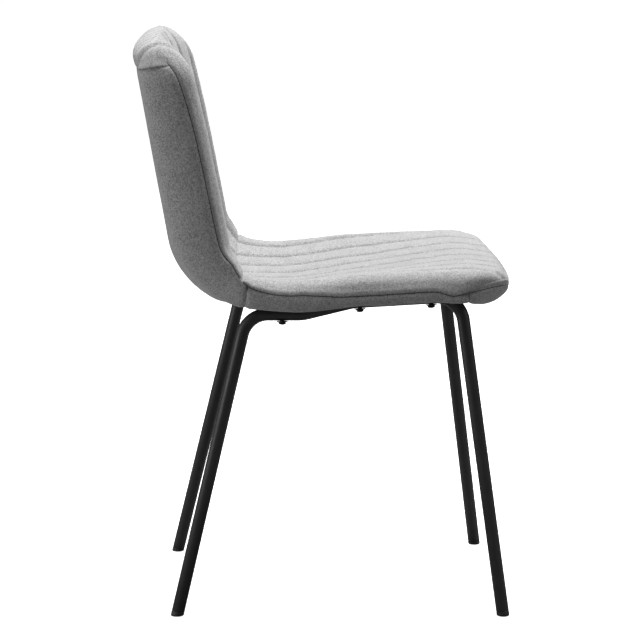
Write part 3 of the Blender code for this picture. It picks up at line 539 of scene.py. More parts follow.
class ChairSizes(bpy.types.PropertyGroup):
    channel_front: length_setting("Channel at Nose", "Distance between the sewn lines at the front of the seat", 0.054)
    channel_middle: length_setting("Channel Mid Seat", "Distance between the sewn lines half way along the seat", 0.050)
    channel_back: length_setting("Channel at Back", "Distance between the sewn lines on the back", 0.047)
    channel_depth: length_setting("Channel Depth", "Depth of the crease along each sewn line", 0.0040)
    channel_crease: length_setting("Channel Crease", "Half width of the crease along each sewn line", 0.0080)
    puff: length_setting("Puff", "How far the cloth stands up between the sewn lines", 0.0024)
    swell_start: length_setting("Swell Start", "How much smaller a pad is before it is filled", 0.0022)
    swell_limit: length_setting("Swell Limit", "Furthest that filling moves the cloth", 0.0050)
    pressure: FloatProperty(name="Filling Pressure", description="Pressure of the filling inside a pad", default=4.0)
    seam_depth: length_setting("Seam Depth", "How deep the seam between pad and band sits", 0.0017)
    cross_depth: length_setting("Crease Depth", "Depth of the crease where the seat meets the back", 0.0085)
    cloth: length_setting("Cloth Thickness", "Thickness of the cover cloth", 0.0014)
    stitch: length_setting("Stitch Spacing", "Length of one stitch with the space after it", 0.0052)
    thread: length_setting("Thread Radius", "Radius of the sewing thread", 0.00055)
    tube_sides: IntProperty(name="Tube Facets", description="Facets round a leg tube", default=36, min=12)


class ChairColours(bpy.types.PropertyGroup):
    light_yarn: colour_setting("Light Yarn", "Paler yarn of the cover cloth", 0.52, 0.52, 0.525)
    dark_yarn: colour_setting("Dark Yarn", "Darker yarn of the cover cloth", 0.085, 0.085, 0.087)
    thread: colour_setting("Thread", "Sewing thread", 0.075, 0.075, 0.078)
    under_cover: colour_setting("Under-Cover", "Cloth under the seat", 0.016, 0.016, 0.017)
    powder_coat: colour_setting("Powder Coat", "Coating of the leg tubes", 0.017, 0.017, 0.018)
    plastic: colour_setting("Plastic", "Moulded plastic of the feet", 0.012, 0.012, 0.012)
    floor: colour_setting("Floor", "Plain pale floor", 0.86, 0.86, 0.86)


class StageSettings(bpy.types.PropertyGroup):
    top_light: power_setting("Top Light", "Power of the large soft light overhead", 158.0)
    front_light: power_setting("Front Light", "Power of the soft light ahead of the chair", 14.0)
    rear_light: power_setting("Rear Light", "Power of the soft light behind the chair", 42.0)
    surround: FloatProperty(name="Surround", description="Strength of the even light from all round", default=0.16)


# ---------------------------------------------------------------- node groups and materials
def new_group(name, inputs, outputs):
    group = bpy.data.node_groups.new(name, "ShaderNodeTree")
    for label, kind, value in inputs:
        socket = group.interface.new_socket(label, in_out="INPUT", socket_type=kind)
        socket.default_value = value
    for label, kind in outputs:
        group.interface.new_socket(label, in_out="OUTPUT", socket_type=kind)
    return group, group.nodes.new("NodeGroupInput"), group.nodes.new("NodeGroupOutput")


def node(tree, kind, settings=None, **values):
    """A node with its sockets set to values or linked to the sockets given."""
    made = tree.nodes.new(kind)
    for key, value in (settings or {}).items():
        setattr(made, key, value)
    for key, value in values.items():
        socket = made.inputs[int(key[1:])] if key[0] == "_" else made.inputs[key.replace("_", " ")]
        if isinstance(value, bpy.types.NodeSocket):
            tree.links.new(value, socket)
        else:
            socket.default_value = value
    return made


def calculate(tree, operation, *values, clamp=False):
    return node(tree, "ShaderNodeMath", {"operation": operation, "use_clamp": clamp},
                **{f"_{k}": value for k, value in enumerate(values)}).outputs[0]


def weighted_sum(tree, *terms):
    """The sum of several sockets, each multiplied by its share."""
    scaled = [calculate(tree, "MULTIPLY", socket, share) for socket, share in terms]
    total = scaled[0]
    for part in scaled[1:]:
        total = calculate(tree, "ADD", total, part)
    return total


def own_coordinates(tree):
    return node(tree, "ShaderNodeTexCoord").outputs["Object"]


def noise_texture(tree, position, scale, detail, roughness=0.5):
    return node(tree, "ShaderNodeTexNoise", Vector=position, Scale=scale, Detail=detail,
                Roughness=roughness).outputs["Fac"]


def stretched_range(tree, value, low, high, **ends):
    """A value whose range from low to high is stretched to 0 to 1, or to the ends given."""
    return node(tree, "ShaderNodeMapRange", Value=value, From_Min=low, From_Max=high, **ends).outputs[0]


YARN_REPEAT = 0.0022


def weave_group():
    """Heather cloth: two yarns mixed in the spinning and woven plain."""
    tree, given, made = new_group(
        "Heather Weave",
        [("Light Yarn", "NodeSocketColor", (0.5, 0.5, 0.5, 1)), ("Dark Yarn", "NodeSocketColor", (0.2, 0.2, 0.2, 1)),
         ("Fibre Scale", "NodeSocketFloat", 950.0), ("Fleck Scale", "NodeSocketFloat", 430.0),
         ("Shade", "NodeSocketFloat", 0.5)],
        [("Color", "NodeSocketColor"), ("Roughness", "NodeSocketFloat"), ("Height", "NodeSocketFloat")])
    position = own_coordinates(tree)
    fibre = noise_texture(tree, position, given.outputs["Fibre Scale"], 2.0, 0.6)
    fleck = noise_texture(tree, position, given.outputs["Fleck Scale"], 3.0, 0.65)
    cloud = noise_texture(tree, position, 38.0, 2.0)
    cloth = node(tree, "ShaderNodeUVMap", {"uv_map": "cloth"}).outputs[0]
    split = node(tree, "ShaderNodeSeparateXYZ", Vector=cloth)
    warp, weft = (calculate(tree, "SINE", calculate(tree, "MULTIPLY", split.outputs[k], 2 * pi / YARN_REPEAT))
                  for k in (0, 1))
    yarns = calculate(tree, "MULTIPLY", warp, weft)
    fibres = stretched_range(tree, fibre, 0.32, 0.68)
    flecks = stretched_range(tree, fleck, 0.36, 0.64)
    clouds = stretched_range(tree, cloud, 0.3, 0.7)
    mixed = weighted_sum(tree, (fibres, 0.42), (flecks, 0.40), (clouds, 0.08), (yarns, 0.05))
    # Shade moves the whole cloth lighter or darker; the band cloth takes a lower value as painted shade
    mixed = calculate(tree, "ADD", mixed, calculate(tree, "SUBTRACT", given.outputs["Shade"], 0.44), clamp=True)
    colour = node(tree, "ShaderNodeMix", {"data_type": "RGBA"}, _0=mixed, _6=given.outputs["Dark Yarn"],
                  _7=given.outputs["Light Yarn"])
    tree.links.new(colour.outputs[2], made.inputs["Color"])
    tree.links.new(calculate(tree, "ADD", weighted_sum(tree, (fibres, 0.10)), 0.86), made.inputs["Roughness"])
    tree.links.new(weighted_sum(tree, (yarns, 0.30), (fibre, 0.8), (fleck, 0.5)), made.inputs["Height"])
    return tree


def grain_group():
    """Fine texture, uneven gloss and light dust of a coated, moulded or plated surface."""
    tree, given, made = new_group(
        "Surface Grain",
        [("Base", "NodeSocketColor", (0.02, 0.02, 0.02, 1)), ("Worn", "NodeSocketColor", (0.04, 0.04, 0.04, 1)),
         ("Grain Scale", "NodeSocketFloat", 1500.0), ("Gloss Low", "NodeSocketFloat", 0.4),
         ("Gloss High", "NodeSocketFloat", 0.6)],
        [("Color", "NodeSocketColor"), ("Roughness", "NodeSocketFloat"), ("Height", "NodeSocketFloat")])
    position = own_coordinates(tree)
    grain = noise_texture(tree, position, given.outputs["Grain Scale"], 2.0)
    patch = noise_texture(tree, position, 34.0, 4.0)
    dust = stretched_range(tree, patch, 0.52, 0.78)
    colour = node(tree, "ShaderNodeMix", {"data_type": "RGBA"}, _0=dust, _6=given.outputs["Base"],
                  _7=given.outputs["Worn"])
    gloss = stretched_range(tree, patch, 0.3, 0.7, To_Min=given.outputs["Gloss Low"],
                            To_Max=given.outputs["Gloss High"])
    tree.links.new(colour.outputs[2], made.inputs["Color"])
    tree.links.new(gloss, made.inputs["Roughness"])
    tree.links.new(grain, made.inputs["Height"])
    return tree


def shaded(name, group, values, bump, distance, constants):
    """A material whose Principled shader takes its varying parts from a group and the rest from constants."""
    material = bpy.data.materials.new(name)
    material.use_nodes = True
    tree = material.node_tree
    shader = tree.nodes["Principled BSDF"]
    source = tree.nodes.new("ShaderNodeGroup")
    source.node_tree = group
    for key, value in values.items():
        source.inputs[key].default_value = value
    for key, value in constants.items():
        shader.inputs[key].default_value = value
    height = node(tree, "ShaderNodeBump", Strength=bump, Distance=distance, Height=source.outputs["Height"])
    tree.links.new(source.outputs["Color"], shader.inputs["Base Color"])
    tree.links.new(source.outputs["Roughness"], shader.inputs["Roughness"])
    tree.links.new(height.outputs[0], shader.inputs["Normal"])
    return material


def wood_material():
    """Rotary cut birch, with its grain along the sheet."""
    material = bpy.data.materials.new("moulded birch plywood")
    material.use_nodes = True
    tree = material.node_tree
    shader = tree.nodes["Principled BSDF"]
    drawn = node(tree, "ShaderNodeMapping", Vector=own_coordinates(tree), Scale=(60.0, 6.0, 6.0))
    grain = noise_texture(tree, drawn.outputs[0], 3.0, 5.0)
    ramp = node(tree, "ShaderNodeValToRGB", Fac=grain)
    ramp.color_ramp.elements[0].color = (0.42, 0.28, 0.15, 1)
    ramp.color_ramp.elements[1].color = (0.72, 0.56, 0.36, 1)
    bump = node(tree, "ShaderNodeBump", Strength=0.15, Distance=0.0004, Height=grain)
    tree.links.new(ramp.outputs[0], shader.inputs["Base Color"])
    tree.links.new(bump.outputs[0], shader.inputs["Normal"])
    shader.inputs["Roughness"].default_value = 0.6
    return material


MATERIALS = {}


def toned(colour, factor):
    """An opaque colour made lighter or darker."""
    return tuple(part * factor for part in colour[:3]) + (1,)


def build_materials():
    colours = bpy.context.scene.chair_colours
    weave, grain = weave_group(), grain_group()
    cloth = {"Specular IOR Level": 0.25, "Sheen Weight": 0.22, "Sheen Roughness": 0.45}
    yarns = {"Light Yarn": colours.light_yarn, "Dark Yarn": colours.dark_yarn}
    # the bands and the outside back use the pad cloth with a lower Shade: painted shade for the sides turned away from
    # the light
    for key, name, shade in (("pad", "heather grey pad cloth", 0.50), ("band", "heather grey band cloth with painted shade", 0.46)):
        MATERIALS[key] = shaded(name, weave, {**yarns, "Shade": shade}, 0.55, 0.0005, cloth)
    thread, under = tuple(colours.thread), tuple(colours.under_cover)
    # the seam finish darkens the thread colour further: painted shade for the groove of each seam
    for key, name, light, dark, bump in (("thread", "grey sewing thread", thread, toned(thread, 0.6), 0.4),
                                         ("seam", "dark seam line of painted shade", toned(thread, 0.7), toned(thread, 0.4), 0.3)):
        MATERIALS[key] = shaded(name, weave, {"Light Yarn": light, "Dark Yarn": dark, "Fibre Scale": 1600.0},
                                bump, 0.0002, cloth)
    MATERIALS["under"] = shaded("black non-woven cloth", weave,
                                {"Light Yarn": toned(under, 1.5), "Dark Yarn": under, "Fibre Scale": 1100.0,
                                 "Fleck Scale": 420.0}, 0.4, 0.0003, {"Specular IOR Level": 0.3})

    def hard(key, name, base, worn, scale, low, high, bump, distance, **constants):
        MATERIALS[key] = shaded(name, grain, {"Base": base, "Worn": worn, "Grain Scale": scale, "Gloss Low": low,
                                              "Gloss High": high}, bump, distance,
                                {k.replace("_", " "): v for k, v in constants.items()})

    coat, plastic = tuple(colours.powder_coat), tuple(colours.plastic)
    hard("coat", "matt black powder coat", coat, toned(coat, 1.5), 1400.0, 0.42, 0.54, 0.25,
         0.0002, Specular_IOR_Level=0.45)
    hard("plastic", "black moulded plastic", plastic, toned(plastic, 2.2), 900.0, 0.45, 0.6,
         0.2, 0.0002)
    hard("steel", "black oxide steel", (0.03, 0.03, 0.032, 1), (0.06, 0.058, 0.055, 1), 2200.0, 0.3, 0.45, 0.1,
         0.0001, Metallic=0.7)
    hard("zinc", "zinc plate", (0.55, 0.55, 0.57, 1), (0.42, 0.42, 0.43, 1), 1800.0, 0.28, 0.42, 0.1, 0.0001,
         Metallic=1.0)
    hard("foam", "cut foam", (0.80, 0.76, 0.62, 1), (0.68, 0.62, 0.45, 1), 700.0, 0.9, 0.96, 0.6, 0.0006)
    MATERIALS["wood"] = wood_material()


# ---------------------------------------------------------------- pads
def channel_pitch(b):
    sizes = bpy.context.scene.chair_sizes
    return np.interp(b, [0.0, 0.06, 0.24, 0.36, LENGTH],
                     [sizes.channel_front, sizes.channel_front, sizes.channel_middle, sizes.channel_back,
                      sizes.channel_back])


def channel_distance(x, b):
    """Distance across the cloth to the nearest sewn line."""
    pitch = channel_pitch(b)
    nearest = np.clip(np.round(x / pitch - 0.5), -4, 3) + 0.5
    return np.abs(x - nearest * pitch)


# rings of a pad's underside: share of the way to its middle, share of the way down to the shell and, where
# the pad is wrapped over the top, its share of the width, its place b and how far it stands off the outer face
UNDERSIDE_RINGS = ((0.03, 0.3, (0.95, WRAP + 0.002, 0.0025)), (0.08, 0.75, (0.86, LENGTH - 0.020, 0.0135)),
                   (0.16, 1.0, (0.82, LENGTH - 0.018, 0.0145)), (0.5, 1.0, None), (0.85, 1.0, None))
LEAST_PADDING = 0.0022


def pad_closed(grids):
    """Points and faces of a closed pad from its outer grids and a plain underside along the shell.

    The first grid is the sitting face; a second one, on the back only, is the part wrapped over the top."""
    points, faces, start = [], [], 0
    for grid in grids:
        points.append(grid.points.reshape(-1, 3))
        faces += [tuple(face) for face in grid.faces(start)]
        start += grid.x.size
    top = grids[0]
    index = np.arange(top.x.size).reshape(top.x.shape)
    last, far = len(index) - 1, index[-1]
    if len(grids) > 1:
        last = int(np.argmin(np.abs(top.b[:, 0] - grids[1].b[0, 0])))
        far = np.arange(grids[1].x.shape[1]) + top.x.size
    ring = np.concatenate([index[0], index[1:last + 1, -1], far[::-1][1:-1], index[1:last + 1, 0][::-1]])
    x0, b0, n0 = (np.concatenate([getattr(grid, part).ravel() for grid in grids])[ring] for part in "xbn")
    at_wrap = ring >= top.x.size
    centre_b = (top.b.min() + top.b.max()) / 2
    previous, count = list(ring), len(ring)
    for inwards, down, wrapped in UNDERSIDE_RINGS:
        x, b = x0 * (1 - inwards), b0 + (centre_b - b0) * inwards
        n = n0 + (bowl(x, b) + PLY_TOP - n0) * down
        if wrapped:
            x = np.where(at_wrap, x0 * wrapped[0], x)
            b = np.where(at_wrap, wrapped[1], b)
            n = np.where(at_wrap, np.minimum(n0, 0.0) + wrapped[2], n)
        points.append(place(x, b, np.maximum(n, outer_face(x, b) + LEAST_PADDING)))
        fresh = list(range(start, start + count))
        faces += [(previous[k], previous[(k + 1) % count], fresh[(k + 1) % count], fresh[k]) for k in range(count)]
        previous, start = fresh, start + count
    points.append(place(np.array([0.0]), np.array([centre_b]), np.array([PLY_TOP])))
    faces += [(previous[k], previous[(k + 1) % count], start) for k in range(count)]
    return np.concatenate(points), faces


# the mesh of a pad while it is filled, the frames that the filling takes, and how far from the cloth
# seen on the chair a point counts as hidden and is held still
FILLING_MESH, FILLING_FRAMES, HIDDEN_DISTANCE = 0.006, 20, 0.0065


def filled(name, small, held):
    """How filling a pad moves its cloth: cloth simulation of a closed copy, held along its seams and sewn lines."""
    sizes = bpy.context.scene.chair_sizes
    copy = add_mesh(name + "_filling", *pad_closed(small), MATERIALS["foam"], merge=0.0004)
    remesh = copy.modifiers.new("even", "REMESH")
    remesh.mode, remesh.voxel_size = "VOXEL", FILLING_MESH
    apply_modifier(copy, "even")
    before = np.array([v.co for v in copy.data.vertices])
    known = np.concatenate([grid.points.reshape(-1, 3)[::3] for grid in small])
    pinned = np.concatenate([value.ravel()[::3] for value in held])
    tree = search_tree(known)
    group = copy.vertex_groups.new(name="held")
    for k, point in enumerate(before):
        _, nearest, distance = tree.find(point)
        weight = 1.0 if distance > HIDDEN_DISTANCE else float(pinned[nearest])
        if weight > 0:
            group.add([k], weight, "REPLACE")
    cloth = copy.modifiers.new("filling", "CLOTH")
    settings = cloth.settings
    settings.quality = 5
    settings.mass = 0.3
    settings.vertex_group_mass = "held"
    settings.use_pressure = True
    settings.uniform_pressure_force = sizes.pressure
    settings.effector_weights.gravity = 0.0
    cloth.point_cache.frame_start, cloth.point_cache.frame_end = 1, FILLING_FRAMES
    for step in range(1, FILLING_FRAMES + 1):
        bpy.context.scene.frame_set(step)
    apply_modifier(copy, "filling")
    bpy.context.scene.frame_set(1)
    moved = np.array([v.co for v in copy.data.vertices]) - before
    reach = np.linalg.norm(moved, axis=1, keepdims=True)
    moved *= np.minimum(1.0, sizes.swell_limit / np.maximum(reach, 1e-9))
    bpy.data.objects.remove(copy, do_unlink=True)
    tree = search_tree(before)
    result = []
    for grid in small:
        shift = np.zeros((grid.x.size, 3))
        for k, point in enumerate(grid.points.reshape(-1, 3)):
            near = tree.find_n(point, 5)
            weights = np.array([1.0 / (distance + 0.001) ** 2 for _, _, distance in near])
            shift[k] = (moved[[index for _, index, _ in near]] * weights[:, None]).sum(0) / weights.sum()
        result.append(shift.reshape(grid.points.shape))
    return result


# how far a seam draws in the cloth beside it, and how full the nose is above and below its seam
SEAM_REACH = 0.0035
PAD_FULLNESS, BAND_FULLNESS = 0.0030, 0.0010


def round_nose(grid, fullness):
    """Softens the widest line of the nose and fills the cloth beside it."""
    nose = 1 - smooth((grid.b - 0.03) / 0.05)
    seam = grid.from_seam()
    return nose * (fullness * np.exp(-((seam - 0.022) / 0.012) ** 2) - 0.0035 * np.exp(-(seam / 0.007) ** 2))


def upholster(name, first, last, wrap, nodes):
    """One pad: its form, its filling, and then its seams and sewn channels."""
    sizes = bpy.context.scene.chair_sizes
    rows = rows_between(first, last, (WRAP,) if wrap else ())

    def make(inset):
        whole = [Grid(rows, "top", inset)]
        return whole + [Grid(rows[rows >= WRAP - 1e-9], "bottom", inset)] if wrap else whole

    grids = make(0.0)
    cross_gap = [np.abs(grid.b - CROSS) for grid in grids]
    lines = [channel_distance(grid.x, grid.b) for grid in grids]
    seams = [grid.from_sewing() for grid in grids]
    small = make(sizes.swell_start)
    held = [((line < 0.0035) | (seam < 0.006) | (gap < 0.006)).astype(float)
            for line, seam, gap in zip(lines, seams, cross_gap)]
    for grid, tight, shift in zip(grids, small, filled(name, small, held)):
        free = np.minimum(grid.from_sewing(), np.abs(grid.b - CROSS))
        if grid.side == "bottom":
            free = np.minimum(free, grid.b - WRAP)
        near_edge = smooth(free / 0.012)[..., None]
        grid.points = grid.points + (tight.points + shift - grid.points) * near_edge
    for grid, line, seam, gap in zip(grids, lines, seams, cross_gap):
        crease = sizes.channel_depth * np.maximum(0.0, 1 - line / sizes.channel_crease) ** 1.6
        puff = sizes.puff * (1 - np.exp(-line / 0.009)) * smooth(seam / 0.02) * 0.5
        tuck = sizes.seam_depth * np.exp(-(seam / SEAM_REACH) ** 2)
        cross = sizes.cross_depth * np.maximum(0.0, 1 - gap / 0.016) ** 2.2
        uneven = 0.0005 * wander(grid.points, 0.045, 3.1) + 0.00022 * wander(grid.points, 0.013, 9.7)
        fold = 0.0009 * np.exp(-(grid.from_seam() / 0.004) ** 2) * smooth((grid.b - SEAM_END) / 0.008)
        move = (puff - tuck + fold - crease * smooth(seam / 0.006 + 0.35) - cross * smooth(seam / 0.02 + 0.4)
                + uneven * smooth(seam / 0.02) + round_nose(grid, PAD_FULLNESS))
        grid.points = grid.points + grid.normals() * move[..., None]
    if wrap:
        shared = len(rows) - len(grids[1].b)
        grids[1].points[-1] = grids[0].points[-1]
        grids[1].points[:, 0] = grids[0].points[shared:, 0]
        grids[1].points[:, -1] = grids[0].points[shared:, -1]
    points, faces = pad_closed(grids)
    pad = add_mesh(name, points, faces, MATERIALS["pad"], merge=0.00001)
    cloth_coordinates(pad)
    settle(pad, "upholstery_fabric", *nodes)
    return grids


def cloth_coordinates(piece):
    """Coordinates along the cloth in metres: across the chair, and along its length, height or depth."""
    mesh = piece.data
    layer = mesh.uv_layers.new(name="cloth")
    co = np.zeros(len(mesh.vertices) * 3)
    mesh.vertices.foreach_get("co", co)
    co = co.reshape(-1, 3)
    table = PROFILE_TABLE[::8]
    along = np.zeros(len(co))
    for start in range(0, len(co), 8000):
        block = co[start:start + 8000]
        gaps = (block[:, None, 1] - table[None, :, 0]) ** 2 + (block[:, None, 2] - table[None, :, 1]) ** 2
        along[start:start + 8000] = SAMPLES[::8][np.argmin(gaps, axis=1)]
    loops = np.zeros(len(mesh.loops), dtype=int)
    mesh.loops.foreach_get("vertex_index", loops)
    uv = np.stack([co[loops, 0], along[loops]], axis=-1)
    layer.data.foreach_set("uv", uv.ravel())


PAD_GRIDS = {}


def line_on(grid, cross_place):
    """A line on a pad that is at cross_place(b) on every row, where that lies within the pad."""
    points = []
    for row, b in enumerate(grid.b[:, 0]):
        x = cross_place(b)
        if abs(x) <= abs(grid.x[row, 0]) - 0.007 and b >= 0.004:
            points.append([np.interp(x, grid.x[row], grid.points[row, :, k]) for k in range(3)])
    return np.array(points)


# ---------------------------------------------------------------- bands, panels and stitching
def cloth_sheet(name, grids, thickness, material, slot, nodes):
    """A sheet of cloth with a true thickness from one or more grids that share their edges."""
    parts, quads, start = [], [], 0
    for grid in grids:
        parts.append(grid.points.reshape(-1, 3))
        quads += [tuple(face) for face in grid.faces(start)]
        start += grid.x.size
    piece = add_mesh(name, np.concatenate(parts), quads, material, merge=0.00002, tidy=False)
    built = bmesh.new()
    built.from_mesh(piece.data)
    bmesh.ops.remove_doubles(built, verts=built.verts, dist=0.00002)
    bmesh.ops.recalc_face_normals(built, faces=built.faces)
    middle = grids[0].points[grids[0].x.shape[0] // 2, grids[0].x.shape[1] // 2]
    outward = grids[0].normals()[grids[0].x.shape[0] // 2, grids[0].x.shape[1] // 2]
    nearest = min(built.faces, key=lambda face: (face.calc_center_median() - Vector(middle)).length)
    if nearest.normal.dot(Vector(outward)) < 0:
        bmesh.ops.reverse_faces(built, faces=built.faces)
    area = sum(face.calc_area() for face in built.faces)
    built.to_mesh(piece.data)
    built.free()
    solid = piece.modifiers.new("thickness", "SOLIDIFY")
    solid.thickness, solid.offset = thickness, -1.0
    apply_modifier(piece, "thickness")
    piece.data.shade_smooth()
    cloth_coordinates(piece)
    settle(piece, slot, *nodes)
    return piece


def band_form(grid, puff=0.0010):
    """Lets a band stand out softly between its seams and drops its seam edge into the seam."""
    sizes = bpy.context.scene.chair_sizes
    seam = grid.from_sewing()
    out = grid.normals()
    tuck = sizes.seam_depth * np.exp(-(seam / SEAM_REACH) ** 2)
    puff = puff * smooth(grid.from_seam() / 0.012) * smooth((WRAP - grid.b) / 0.02)
    uneven = 0.0006 * wander(grid.points, 0.05, 21.3) + 0.0002 * wander(grid.points, 0.012, 5.2)
    gathers = 0.00035 * np.sin(grid.b * 2 * pi / 0.011 + 2.2 * wander(grid.points, 0.06, 1.4)) * np.exp(-seam / 0.008)
    still = smooth(grid.from_seam() / 0.004) * smooth((WRAP - grid.b) / 0.01)
    move = -tuck + puff + (uneven + gathers) * still + round_nose(grid, BAND_FULLNESS)
    grid.points = grid.points + out * move[..., None]
    return grid


def seam_gap(grid, seam_b, width=0.004, depth=0.0016):
    """Draws the cloth down into a seam that runs across a grid at seam_b."""
    gap = np.abs(grid.b - seam_b)
    grid.points = grid.points - grid.normals() * (depth * np.exp(-(gap / width) ** 2))[..., None]
    return grid


class CHAIR_OT_materials(bpy.types.Operator):
    """Build the finishes of the chair"""
    bl_idname = "chair.materials"
    bl_label = "Finishes"

    def execute(self, context):
        build_materials()
        return {"FINISHED"}


class CHAIR_OT_seat_cushion(bpy.types.Operator):
    """Make the seat pad with its sewn channels"""
    bl_idname = "chair.seat_cushion"
    bl_label = "Seat Cushion"

    def execute(self, context):
        PAD_GRIDS["seat"] = upholster("seat_cushion", 0.0, CROSS, False, ("seat_panel", "seat_foam"))
        return {"FINISHED"}


class CHAIR_OT_back_cushion(bpy.types.Operator):
    """Make the back pad, which wraps over the top to the rear"""
    bl_idname = "chair.back_cushion"
    bl_label = "Back Cushion"

    def execute(self, context):
        PAD_GRIDS["back"] = upholster("back_cushion", CROSS, LENGTH, True, ("inside_back_panel", "back_foam"))
        return {"FINISHED"}


class CHAIR_OT_bands(bpy.types.Operator):
    """Make the bands round the edge of the seat and the back"""
    bl_idname = "chair.bands"
    bl_label = "Edge Bands"

    def execute(self, context):
        cloth = context.scene.chair_sizes.cloth
        nose_rows = rows_between(0.0, NOSE_BAND_REACH, (NOSE_BAND_DEPTH,))
        whole = Grid(nose_rows[nose_rows <= NOSE_BAND_DEPTH + 1e-9], "bottom")
        corners = [Grid(nose_rows[nose_rows >= NOSE_BAND_DEPTH - 1e-9], "bottom", keep=side_columns(label))
                   for label in ("left", "right")]
        parts = [seam_gap(band_form(grid), NOSE_BAND_REACH) for grid in (whole, *corners)]
        for grid, label in zip(parts[1:], ("left", "right")):
            grid.points[0] = parts[0].points[-1, side_columns(label)]
        cloth_sheet("front_edge_band", parts, cloth, MATERIALS["band"], "upholstery_fabric", ("front_band",))
        for label in ("left", "right"):
            for part, first, last in (("seat", NOSE_BAND_REACH, BAND_SEAM), ("back", BAND_SEAM, WRAP)):
                grid = band_form(Grid(rows_between(first, last), "bottom", keep=side_columns(label)))
                for seam in (NOSE_BAND_REACH, BAND_SEAM):
                    grid = seam_gap(grid, seam)
                cloth_sheet(f"{label}_{part}_edge_band", [grid], cloth, MATERIALS["band"], "upholstery_fabric",
                            (f"{label}_{part}_band",))
        return {"FINISHED"}


class CHAIR_OT_outside_back(bpy.types.Operator):
    """Make the panel on the rear of the back"""
    bl_idname = "chair.outside_back"
    bl_label = "Outside Back"

    def execute(self, context):
        grid = Grid(rows_between(COVER_END, WRAP), "bottom", keep=INSIDE_COLUMNS)
        edge = np.minimum(grid.x - grid.x[:, :1], grid.x[:, -1:] - grid.x)
        end = np.minimum(grid.b - COVER_END, WRAP - grid.b)
        inner = np.minimum(edge, end)
        uneven = 0.0005 * wander(grid.points, 0.07, 2.9) * smooth(inner / 0.02)
        move = 0.0012 * smooth(inner / 0.018) - 0.0012 * np.exp(-(inner / 0.003) ** 2) + uneven
        grid.points = grid.points + grid.normals() * move[..., None]
        cloth_sheet("outside_back", [grid], context.scene.chair_sizes.cloth, MATERIALS["band"],
                    "upholstery_fabric", ("outside_back_panel",))
        return {"FINISHED"}


class CHAIR_OT_under_cover(bpy.types.Operator):
    """Make the black cloth under the seat, with its staples"""
    bl_idname = "chair.under_cover"
    bl_label = "Under-Cover"

    def execute(self, context):
        grid = Grid(rows_between(NOSE_BAND_DEPTH, COVER_END), "bottom", keep=INSIDE_COLUMNS)
        edge = np.minimum(np.minimum(grid.x - grid.x[:, :1], grid.x[:, -1:] - grid.x),
                          np.minimum(grid.b - NOSE_BAND_DEPTH, COVER_END - grid.b))
        grid.points = grid.points + grid.normals() * (
            0.0003 * wander(grid.points, 0.05, 6.1) * smooth(edge / 0.02) - 0.0004)[..., None]
        cloth_sheet("seat_under_cover", [grid], 0.0007, MATERIALS["under"], "under_cover_cloth",
                    ("under_cover",))
        rows, across = grid.x.shape
        raised = grid.points + grid.normals() * STAPLE_WIRE * 0.4
        down, along = slice(6, rows - 5), slice(8, across - 8)
        staples = []
        for line in (raised[down, 4], raised[down, across - 5], raised[3, along], raised[rows - 4, along]):
            even = spaced(line, 0.0055)
            for k in range(2, len(even) - 3, 5):
                staples.append(tube_mesh(np.linspace(even[k], even[k + 2], 4), STAPLE_WIRE, 6))
        made = add_mesh("under_cover_staples", *gathered(staples), MATERIALS["zinc"])
        settle(made, "zinc_plate")
        return {"FINISHED"}


class CHAIR_OT_stitching(bpy.types.Operator):
    """Sew the channels, and lay a thin dark line of painted shade in each seam"""
    bl_idname = "chair.stitching"
    bl_label = "Stitching"

    def execute(self, context):
        sizes = context.scene.chair_sizes
        radius, spacing = sizes.thread, sizes.stitch
        length = spacing * 0.72
        for label in ("seat", "back"):
            rows = []
            for line in CHANNEL_LINES:
                for grid in PAD_GRIDS[label]:
                    path = line_on(grid, lambda b, line=line: line * float(channel_pitch(b)))
                    if len(path) > 6:
                        rows.append(stitch_row(path, spacing, length, radius))
            made = add_mesh(f"{label}_channel_stitches", *gathered(rows), MATERIALS["thread"])
            cloth_coordinates(made)
            settle(made, "upholstery_fabric")
        seat, back = PAD_GRIDS["seat"][0], PAD_GRIDS["back"][0]
        below = back.b[:, 0] <= SEAM_END
        x, b = (np.concatenate([part[::-1, 0], part[0, 1:-1], part[:, -1]]) for part in (seat.x, seat.b))
        drop = seam_drop(b)
        ring, centre = (place(x * wide, b + ahead, field("seam", b) - drop) for wide, ahead in ((1, 0.0), (0, 0.02)))
        inward = (centre - ring) / np.linalg.norm(centre - ring, axis=1, keepdims=True)
        ring += inward * (0.0014 + 0.0016 * drop / NOSE_SEAM_DROP)[:, None]
        lines = [ring, back.points[below, 0], back.points[below, -1]]
        for b in (NOSE_BAND_REACH, BAND_SEAM):
            for label in ("left", "right"):
                grid = Grid(np.array([b - 0.001, b, b + 0.001]), "bottom", keep=side_columns(label))
                lines.append(grid.points[1] - grid.normals()[1] * 0.0012)
        grid = Grid(rows_between(COVER_END, WRAP), "bottom", keep=INSIDE_COLUMNS)
        sunk = grid.points - grid.normals() * 0.0010
        lines += [sunk[:, -1], sunk[:, 0], sunk[-1]]
        # a thin dark tube sunk along each seam paints the shade of its groove and covers the join between the pieces
        shade_lines = [tube_mesh(spaced(line, 0.002), SEAM_SHADE_RADIUS, 6) for line in lines]
        made = add_mesh("painted_seam_shade", *gathered(shade_lines), MATERIALS["seam"])
        cloth_coordinates(made)
        settle(made, "upholstery_fabric")
        return {"FINISHED"}


# ---------------------------------------------------------------- leg frames and fasteners
SIDES = ((1, "left"), (-1, "right"))
BEND_STEP = radians(3)
WASHER_BORE, WASHER_EASE = 0.0034, 0.0002
# the rounded lower edge of a foot, in shares of PLUG_EASE: how much narrower it is, and how far up
PLUG_EDGE = ((1.0, 0.0), (0.65, 0.08), (0.3, 0.35), (0.08, 0.65), (0.0, 1.0))


